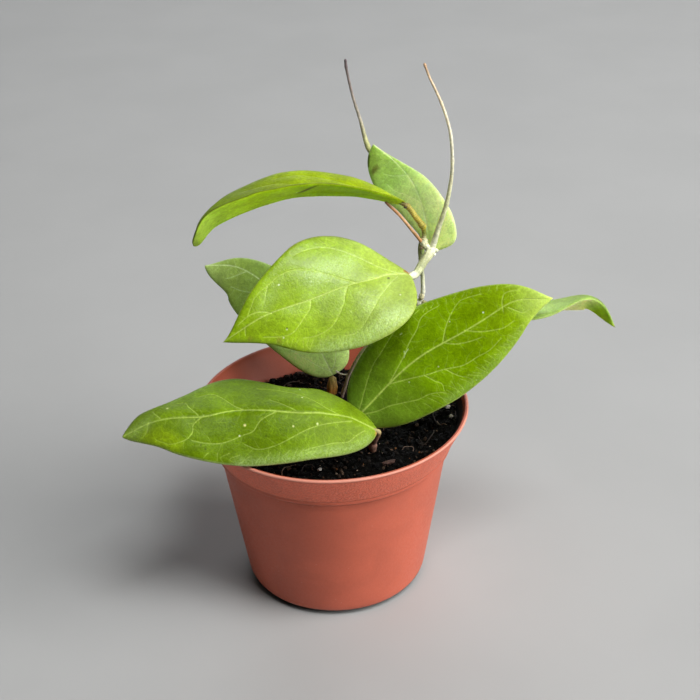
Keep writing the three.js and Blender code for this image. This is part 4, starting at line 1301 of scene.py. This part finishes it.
class Blade:
    """A leaf's shape. A place on it is (t, v), or (x, y): mm along and across the blade laid flat."""

    DENSE = 1500

    def __init__(self, leaf):
        self.leaf = leaf
        self.t = 0.5 - 0.5 * np.cos(np.linspace(0, math.pi, self.DENSE))
        midrib = spline(leaf["midrib"], self.t)
        self.x = lengths_along(midrib)
        outlines = np.vstack([self.flat(self.t, side * np.ones_like(self.t)) for side in (1, -1)])
        self.edge = kdtree.KDTree(len(outlines))
        for i, (x, y) in enumerate(outlines):
            self.edge.insert((x, y, 0), i)
        self.edge.balance()

    def t_at(self, x):
        return np.interp(x, self.x, self.t)

    def half_width(self, side, t):
        half = self.leaf[side]
        base, tip = half["base"], half["tip"]
        width = half["width"] * outline(t, base, tip)
        if side == "right" and "ripple" in self.leaf:
            ripple = self.leaf["ripple"]
            wave = np.sin(2 * math.pi * (ripple["waves"] * t + ripple["phase"]))
            width = width + ripple["height"] * wave * outline(t, 0.5, 0.5)
        return width

    def width(self, t, v):
        return np.where(v < 0, self.half_width("left", t), self.half_width("right", t))

    def flat(self, t, v):
        return np.stack([np.interp(t, self.t, self.x), v * self.width(t, v)], axis=-1)

    def place(self, xy):
        t = self.t_at(xy[:, 0])
        width = np.maximum(self.width(t, xy[:, 1]), 1e-6)
        return t, np.clip(xy[:, 1] / width, -1, 1)

    def surface(self, t, v):
        """Points of the blade's middle surface and its normals."""
        leaf = self.leaf
        midrib = spline(leaf["midrib"], t)
        tangent = unit(spline(leaf["midrib"], np.minimum(t + 0.001, 1))
                       - spline(leaf["midrib"], np.maximum(t - 0.001, 0)))
        level = unit(np.cross(tangent, (0.0, 0.0, 1.0)))
        up = np.cross(level, tangent)
        roll = np.radians(three_way(leaf["roll"], t))[:, None]
        side = np.cos(roll) * level + np.sin(roll) * up
        up = np.cos(roll) * up - np.sin(roll) * level
        fold = np.radians(np.where(v < 0, leaf["left"]["fold"], leaf["right"]["fold"]))
        width, cup = self.width(t, v), leaf["cup"]
        bend = np.hypot(v, CREASE)
        rise = (bend - CREASE) * width * np.sin(fold) + width * cup * v ** 2
        points = midrib + side * (v * width * np.cos(fold))[:, None] + up * rise[:, None]
        slope = v / bend * np.sin(fold) + 2 * cup * v
        return points, unit(up * np.cos(fold)[:, None] - side * slope[:, None])

    def margin(self):
        """The blade's outline as (t, v) points, up the right side and back down the left."""
        halves = []
        for v in (1.0, -1.0):
            path = self.flat(self.t, np.full_like(self.t, v))
            lengths, places = even_places(path, MARGIN_STEP)
            halves.append(np.interp(places, lengths, self.t))
        right, left = halves[0], halves[1][1:-1][::-1]
        return np.concatenate([right, left]), np.repeat([1.0, -1.0], [len(right), len(left)])

    def edge_distance(self, xy):
        """Distance to the margin, in mm."""
        return np.array([self.edge.find((x, y, 0))[2] for x, y in xy])

    def inside(self, xy, clearance):
        """Which points lie on the blade, this far in from its margin."""
        t = self.t_at(xy[:, 0])
        within = (xy[:, 0] > 0) & (xy[:, 0] < self.x[-1])
        within &= np.abs(xy[:, 1]) < self.width(t, xy[:, 1])
        return within & (self.edge_distance(xy) > clearance)


class Scatter:
    """Points in a plane, none closer to an earlier one than asked."""

    CELL = 0.25

    def __init__(self):
        self.points = []
        self.cells = {}

    def add(self, points, gap):
        reach = int(gap / self.CELL) + 1
        for x, y in points:
            i, j = math.floor(x / self.CELL), math.floor(y / self.CELL)
            near = (self.points[k] for a in range(i - reach, i + reach + 1)
                    for b in range(j - reach, j + reach + 1) for k in self.cells.get((a, b), ()))
            if all((x - px) ** 2 + (y - py) ** 2 >= gap * gap for px, py in near):
                self.cells.setdefault((i, j), []).append(len(self.points))
                self.points.append((x, y))


def three_way(values, t):
    """A quadratic through the values at the base, the middle and the tip."""
    base, middle, tip = values
    return base * (1 - t) * (1 - 2 * t) + middle * 4 * t * (1 - t) + tip * t * (2 * t - 1)


def outline(t, base, tip):
    """Outline of half a leaf: 0 at the base and the tip, and 1 where it is widest."""
    widest = base / (base + tip)
    return (t ** base * (1 - t) ** tip) / (widest ** base * (1 - widest) ** tip)


def resample(path, step):
    """Points along a line, `step` mm apart."""
    lengths, places = even_places(path, step)
    return np.stack([np.interp(places, lengths, column) for column in path.T], axis=-1)


def flat_path(blade, path):
    """A vein's (t, v) points as a smooth line on the flattened blade."""
    smooth = spline(path, np.linspace(0, 1, 6 * len(path)))
    return resample(blade.flat(np.clip(smooth[:, 0], 0, 1), smooth[:, 1]), VEIN_STEP)


def turned(direction, degrees):
    """A direction in the plane, turned to the left."""
    cos, sin = math.cos(math.radians(degrees)), math.sin(math.radians(degrees))
    x, y = direction
    return np.array([x * cos - y * sin, x * sin + y * cos])


def twigs(lines, seed):
    """Short branches off the larger veins, to one side and the other, as lines laid flat."""
    rng = np.random.RandomState(seed)
    grown = []
    for line, _ in lines:
        ahead = unit(np.gradient(line, axis=0))
        side = rng.choice([-1, 1])
        index = int(rng.uniform(*TWIG_START))
        while index < len(line) - 3:
            heading = turned(ahead[index], side * rng.uniform(*TWIG_ANGLE))
            length = rng.uniform(*TWIG_LENGTH)
            middle = line[index] + heading * length * 0.5
            end = middle + turned(heading, -side * rng.uniform(*TWIG_BEND)) * length * 0.5
            curve = spline([line[index], middle, end], np.linspace(0, 1, 12))
            grown.append((resample(curve, VEIN_STEP), TWIG))
            index += int(rng.uniform(*TWIG_SKIP))
            side = -side
    return grown


def vein_lines(blade):
    """The blade's veins: its midrib, its side veins and their twigs, each with a look."""
    leaf = blade.leaf
    mirrored = [[(t, -v) for t, v in path] for path in leaf["veins"][:leaf.get("mirror", 0)]]
    lines = [(flat_path(blade, leaf.get("midrib_drift", STRAIGHT_MIDRIB)), MIDRIB)]
    lines += [(flat_path(blade, path), SIDE_VEIN) for path in leaf["veins"] + mirrored]
    return lines + twigs(lines, leaf["seed"]) + comb(blade)


def comb(blade):
    """Many small veins, side by side, that run out to a stretch of the margin."""
    rng = np.random.RandomState(blade.leaf["seed"])
    teeth = []
    for start, end, inner, outer, count in blade.leaf.get("combs", []):
        for t in np.linspace(start, end, count):
            slant = rng.uniform(0.0, 0.03)
            depth = blend(inner, outer, rng.uniform(0, 0.35))
            end_t = t + slant * rng.uniform(0, 2)
            path = [(t, depth), (t + slant, (depth + outer) / 2), (end_t, outer)]
            teeth.append((flat_path(blade, path), TOOTH))
    return teeth


def ground_grid(blade, step):
    """Staggered points all over the blade."""
    widest = max(blade.half_width(side, blade.t).max() for side in ("left", "right"))
    grid = []
    for i, y in enumerate(np.arange(-widest, widest, step * math.sqrt(3) / 2)):
        x = np.arange((i % 2) * step / 2, blade.x[-1], step)
        grid.append(np.stack([x, np.full(len(x), y)], axis=-1))
    return np.vstack(grid)


def beside(line, offset):
    """Points on one side of a line, `offset` mm away."""
    ahead = unit(np.gradient(line, axis=0))
    return line + np.stack([-ahead[:, 1], ahead[:, 0]], axis=-1) * offset


def triangulate(blade, margin_xy, inner):
    """Triangles between the margin's points and the inner ones, inside the margin."""
    points = np.vstack([margin_xy, inner])
    loop = list(range(len(margin_xy)))
    _, _, faces, origins, _, _ = geometry.delaunay_2d_cdt(
        [Vector(p) for p in points.tolist()], [], [loop], 1, 1e-7, True)
    source = np.array([origin[0] if origin else -1 for origin in origins])
    faces = source[np.array(faces)]
    faces = faces[(faces >= 0).all(1)]
    middle = points[faces].mean(1)
    beyond = np.abs(middle[:, 1]) > blade.width(blade.t_at(middle[:, 0]), middle[:, 1])
    return faces[~(beyond & (faces < len(loop)).all(1))].tolist()


def inner_points(blade, margin_xy, lines, ground_step, fine):
    """The points inside the blade: rows along its margin and its veins, and a grid between them."""
    groups = [(line, VEIN_GAP) for line, _ in lines]
    ring = np.vstack([margin_xy, margin_xy[:1]])
    for inset in MARGIN_ROWS if fine else MARGIN_ROWS[1:2]:
        groups += [(beside(ring, offset), inset * ROW_SPACING) for offset in (-inset, inset)]
    if fine:
        for line, look in lines:
            for row in VEIN_ROWS[1:2] if look in SMALL_VEINS else VEIN_ROWS:
                offset = row * look[0][0]
                groups += [(beside(line, side * offset), ROW_GAP) for side in (-1, 1)]
        groups += [(mark_points(blade, path, radius), 0.3 * radius)
                   for path, radius, _, _ in blade.leaf.get("marks", []) if radius < SMALL_MARK]
    groups.append((ground_grid(blade, ground_step), ground_step * GROUND_SPACING))
    scatter = Scatter()
    scatter.add(margin_xy, 0)
    for points, gap in groups:
        scatter.add(points[blade.inside(points, MARGIN_ROWS[0] * ROW_SPACING)], gap)
    return np.array(scatter.points[len(margin_xy):])


def off_segment(points, a, b):
    """Each point's place along a segment, from 0 to 1, and its distance from it."""
    delta = points - a
    s = np.clip(delta @ (b - a) / max((b - a) @ (b - a), 1e-9), 0, 1)
    return s, np.linalg.norm(delta - s[:, None] * (b - a), axis=1)


def vein_fields(lines, xy):
    """How much of a vein each point is, how much of the midrib, and how far from the nearest."""
    far = np.full(len(xy), VEIN_REACH)
    vein = np.zeros(len(xy))
    rib = np.zeros(len(xy))
    for k, (line, look) in enumerate(lines):
        field = rib if k == 0 else vein
        count = len(line) - 1
        for i, (a, b) in enumerate(zip(line[:-1], line[1:])):
            near = np.flatnonzero((np.abs(xy - (a + b) / 2) < VEIN_REACH + VEIN_STEP).all(1))
            s, distance = off_segment(xy[near], a, b)
            radius, power = (blend(*ends, (i + s) / count) for ends in look)
            field[near] = np.maximum(field[near], power * np.exp(-(distance / radius) ** 2))
            if look not in SMALL_VEINS:
                far[near] = np.minimum(far[near], distance)
    return np.maximum(vein, rib), rib, far


def mark_line(blade, path):
    """A mark's middle laid flat: one spot, or a line along several places."""
    return flat_path(blade, path) if len(path) > 1 else blade.flat(*np.array(path * 2, float).T)


def mark_distance(blade, path, xy):
    """How far each point is from the middle of a mark, in mm."""
    line = mark_line(blade, path)
    return np.min([off_segment(xy, a, b)[1] for a, b in zip(line[:-1], line[1:])], axis=0)


def mark_points(blade, path, radius):
    """Extra points in and around a small mark, so that its outline is drawn."""
    line = mark_line(blade, path)
    angles = circle_angles(8)
    circle = np.stack([np.cos(angles), np.sin(angles)], axis=-1) * radius
    rings = [place + circle * spread for place in line for spread in (0.5, 1.1, 1.7)]
    return np.vstack([line, *rings])


def paint_marks(tint, marks, blade, xy):
    for path, radius, colour, strength in marks:
        amount = strength * np.clip(1.5 - mark_distance(blade, path, xy) / radius, 0, 1)[:, None]
        tint[:] = tint * (1 - amount) + linear(colour) * amount


def blade_tint(blade, side, t, points, xy, vein, far, edge):
    """The colour at each point of the blade's upper or lower face."""
    leaf = blade.leaf
    colours = leaf["colours"]
    clouds = rough_noise(points, 10, leaf["seed"])[:, None]
    if side == "under":
        tint = colour_stops(colours["under"], t) * (1 + 0.12 * clouds)
        tint = tint * (1 + 0.35 * vein[:, None])
        paint_marks(tint, leaf.get("under_marks", []), blade, xy)
        return tint
    tint = colour_stops(colours["body"], t) * (1 + 0.16 * clouds)
    tint = tint * (1 + 0.1 * (0.5 - np.clip(far / VEIN_REACH, 0, 1)))[:, None]
    # Band along the margin in the leaf's edge colour: a painted highlight where that colour is pale, a
    # painted shadow line where it is dark.
    rim = np.exp(-(edge / RIM_WIDTH) ** 2)[:, None]
    tint = tint + (linear(colours["rim"]) - tint) * 0.6 * rim
    tint = blend(tint, linear(colours["vein"]), vein[:, None])
    paint_marks(tint, leaf.get("marks", []), blade, xy)
    return tint


def blade_dust_and_sheen(blade, xy):
    """How much pale dust and painted sheen the upper face has at each point."""
    dust_and_sheen = np.zeros(len(xy))
    for path, radius, strength in blade.leaf["dust_and_sheen_bands"]:
        reach = mark_distance(blade, path, xy) / radius
        dust_and_sheen = np.maximum(dust_and_sheen, strength * np.exp(-reach ** 2))
    return dust_and_sheen


def blade_face(blade, side, margin, lines, step):
    """One face of the blade: points, colours, masks, triangles and places laid flat."""
    margin_xy = blade.flat(*margin)
    inner = inner_points(blade, margin_xy, lines, step, side == "top")
    xy = np.vstack([margin_xy, inner])
    t, v = blade.place(inner)
    t, v = np.concatenate([margin[0], t]), np.concatenate([margin[1], v])
    points, normals = blade.surface(t, v)
    vein, rib, far = vein_fields(lines, xy)
    edge = blade.edge_distance(xy)
    edge[:len(margin_xy)] = 0
    rounding = np.sqrt(1 - (1 - np.clip(edge / EDGE_ROUNDING, 0, 1)) ** 2)
    inside = np.clip(edge / RELIEF_FADE, 0, 1)
    waves = WAVES * rough_noise(points, 9, blade.leaf["seed"] + 3, 2)
    relief = blade.leaf.get("relief", 1.0)
    pucker = relief * PUCKER * (np.clip(far / PUCKER_REACH, 0, 1) ** 0.7 - 0.5)
    if side == "top":
        height = BLADE_THICKNESS / 2 * rounding + (pucker - relief * VEIN_GROOVE * vein) * inside
    else:
        height = -BLADE_THICKNESS / 2 * rounding + (pucker - KEEL * rib) * inside
    tint = blade_tint(blade, side, t, points, xy, vein, far, edge)
    points = points + normals * (height + waves)[:, None]
    dust_and_sheen = blade_dust_and_sheen(blade, xy) if side == "top" else np.zeros(len(xy))
    masks = {"vein": vein, "dust_and_sheen": dust_and_sheen}
    return points, np.clip(tint, 0, 1), masks, triangulate(blade, margin_xy, inner), xy


def build_leaf(name, leaf):
    blade = Blade(leaf)
    margin = blade.margin()
    lines = vein_lines(blade)
    top, top_tint, top_masks, top_faces, top_xy = blade_face(blade, "top", margin, lines, GROUND_STEP)
    low, low_tint, low_masks, low_faces, low_xy = blade_face(
        blade, "under", margin, lines[:1], UNDER_STEP)
    shared = len(margin[0])
    shift = len(top) - shared
    top_faces = [face[::-1] for face in top_faces]
    low_faces = [[i if i < shared else i + shift for i in face] for face in low_faces]
    masks = {key: np.concatenate([top_masks[key], low_masks[key][shared:]]) for key in top_masks}
    masks["under"] = np.repeat([0, 1], [len(top), len(low) - shared])
    obj = new_object(name + "_blade", np.vstack([top, low[shared:]]), top_faces + low_faces,
                     blade_material(name + "_wax", *leaf["finish"]),
                     tint=np.vstack([top_tint, low_tint[shared:]]), masks=masks)
    lay_out(obj, np.vstack([top_xy, low_xy[shared:]]), len(top_faces))
    stands_for(obj, name)


def lay_out(obj, xy, top_faces):
    """A UV map with the blade's upper face above its lower one, each laid flat."""
    low, high = xy.min(0), xy.max(0)
    flat = (xy - low) / (high - low)
    layer = obj.data.uv_layers.new(name="OFBake")
    corners = np.empty(len(obj.data.loops), int)
    obj.data.loops.foreach_get("vertex_index", corners)
    uv = flat[corners] * (1 - 2 * UV_MARGIN, 0.5 - 2 * UV_MARGIN) + (UV_MARGIN, 0.5 + UV_MARGIN)
    uv[3 * top_faces:, 1] -= 0.5
    layer.data.foreach_set("uv", uv.astype(np.float32).ravel())


# ---- Stage -------------------------------------------------------------------------------------

def place_camera():
    elevation, roll = math.radians(CAMERA_ELEVATION), math.radians(CAMERA_ROLL)
    forward = Vector((0, math.cos(elevation), -math.sin(elevation)))
    right = Vector((1, 0, 0))
    up = Vector((0, math.sin(elevation), math.cos(elevation)))
    tilted_right = math.cos(roll) * right + math.sin(roll) * up
    tilted_up = -math.sin(roll) * right + math.cos(roll) * up
    position = (Vector(CAMERA_TARGET) - CAMERA_DISTANCE * forward) * MM
    camera = bpy.data.objects.new("camera", bpy.data.cameras.new("camera"))
    camera.data.lens = CAMERA_LENS
    camera.data.sensor_width = CAMERA_SENSOR
    camera.data.clip_start = 0.01
    axes = Matrix((tilted_right, tilted_up, -forward)).transposed()
    camera.matrix_world = Matrix.Translation(position) @ axes.to_4x4()
    bpy.context.collection.objects.link(camera)
    bpy.context.scene.camera = camera


def area_light(name, azimuth, elevation, distance, size, watts, colour):
    """A soft rectangular light. Azimuth is to the right of the camera, seen from the plant."""
    data = bpy.data.lights.new(name, "AREA")
    data.shape = "RECTANGLE"
    data.size, data.size_y = size
    data.energy = watts
    data.color = colour
    light = bpy.data.objects.new(name, data)
    across, rise = math.radians(azimuth), math.radians(elevation)
    level = math.cos(rise)
    away = Vector((level * math.sin(across), -level * math.cos(across), math.sin(rise)))
    light.location = Vector(LIGHT_TARGET) * MM + away * distance
    light.rotation_euler = (-away).to_track_quat("-Z", "Y").to_euler()
    bpy.context.collection.objects.link(light)


def build_stage():
    corners = [(x * FLOOR_REACH, y * FLOOR_REACH, 0) for x, y in ((-1, -1), (1, -1), (1, 1), (-1, 1))]
    floor = new_object("floor", corners, [(0, 1, 2, 3)], floor_material())
    for light in LIGHTS:
        area_light(*light)
    world = bpy.data.worlds.new("studio")
    world.use_nodes = True
    background = world.node_tree.nodes["Background"]
    background.inputs["Color"].default_value = WORLD_COLOUR
    background.inputs["Strength"].default_value = WORLD_STRENGTH
    bpy.context.scene.world = world
    bpy.context.scene.view_settings.view_transform = "Standard"


# ---- All of it ---------------------------------------------------------------------------------

place_camera()
build_stage()
build_pot()
build_soil(earth_material("peat", 0.9, 0.04))
build_crumbs(earth_material("peat_crumbs", 0.6, 0.16))
for leaf_name, leaf_shape in LEAVES.items():
    build_leaf(leaf_name, leaf_shape)
green_skin = shoot_material("green_shoot", 0.4, 0.6, 0.1)
dry_skin = shoot_material("dry_bark", 0.6, 0.85, 0.0)
for stem_name, stem_shape in STEMS.items():
    skin = dry_skin if stem_shape["slot"] == "rootstock" else green_skin
    build_stem(stem_name, stem_shape, skin)
build_nodes(green_skin)
build_fibres(dry_skin)
loose = {"bark": grain_material("bark_grain", 0.85, 0.4),
         "perlite": grain_material("perlite", 0.9, 0.25)}
for bit_name, bit_shape in SURFACE_BITS.items():
    build_bit(bit_name, bit_shape, loose[bit_shape["slot"]])
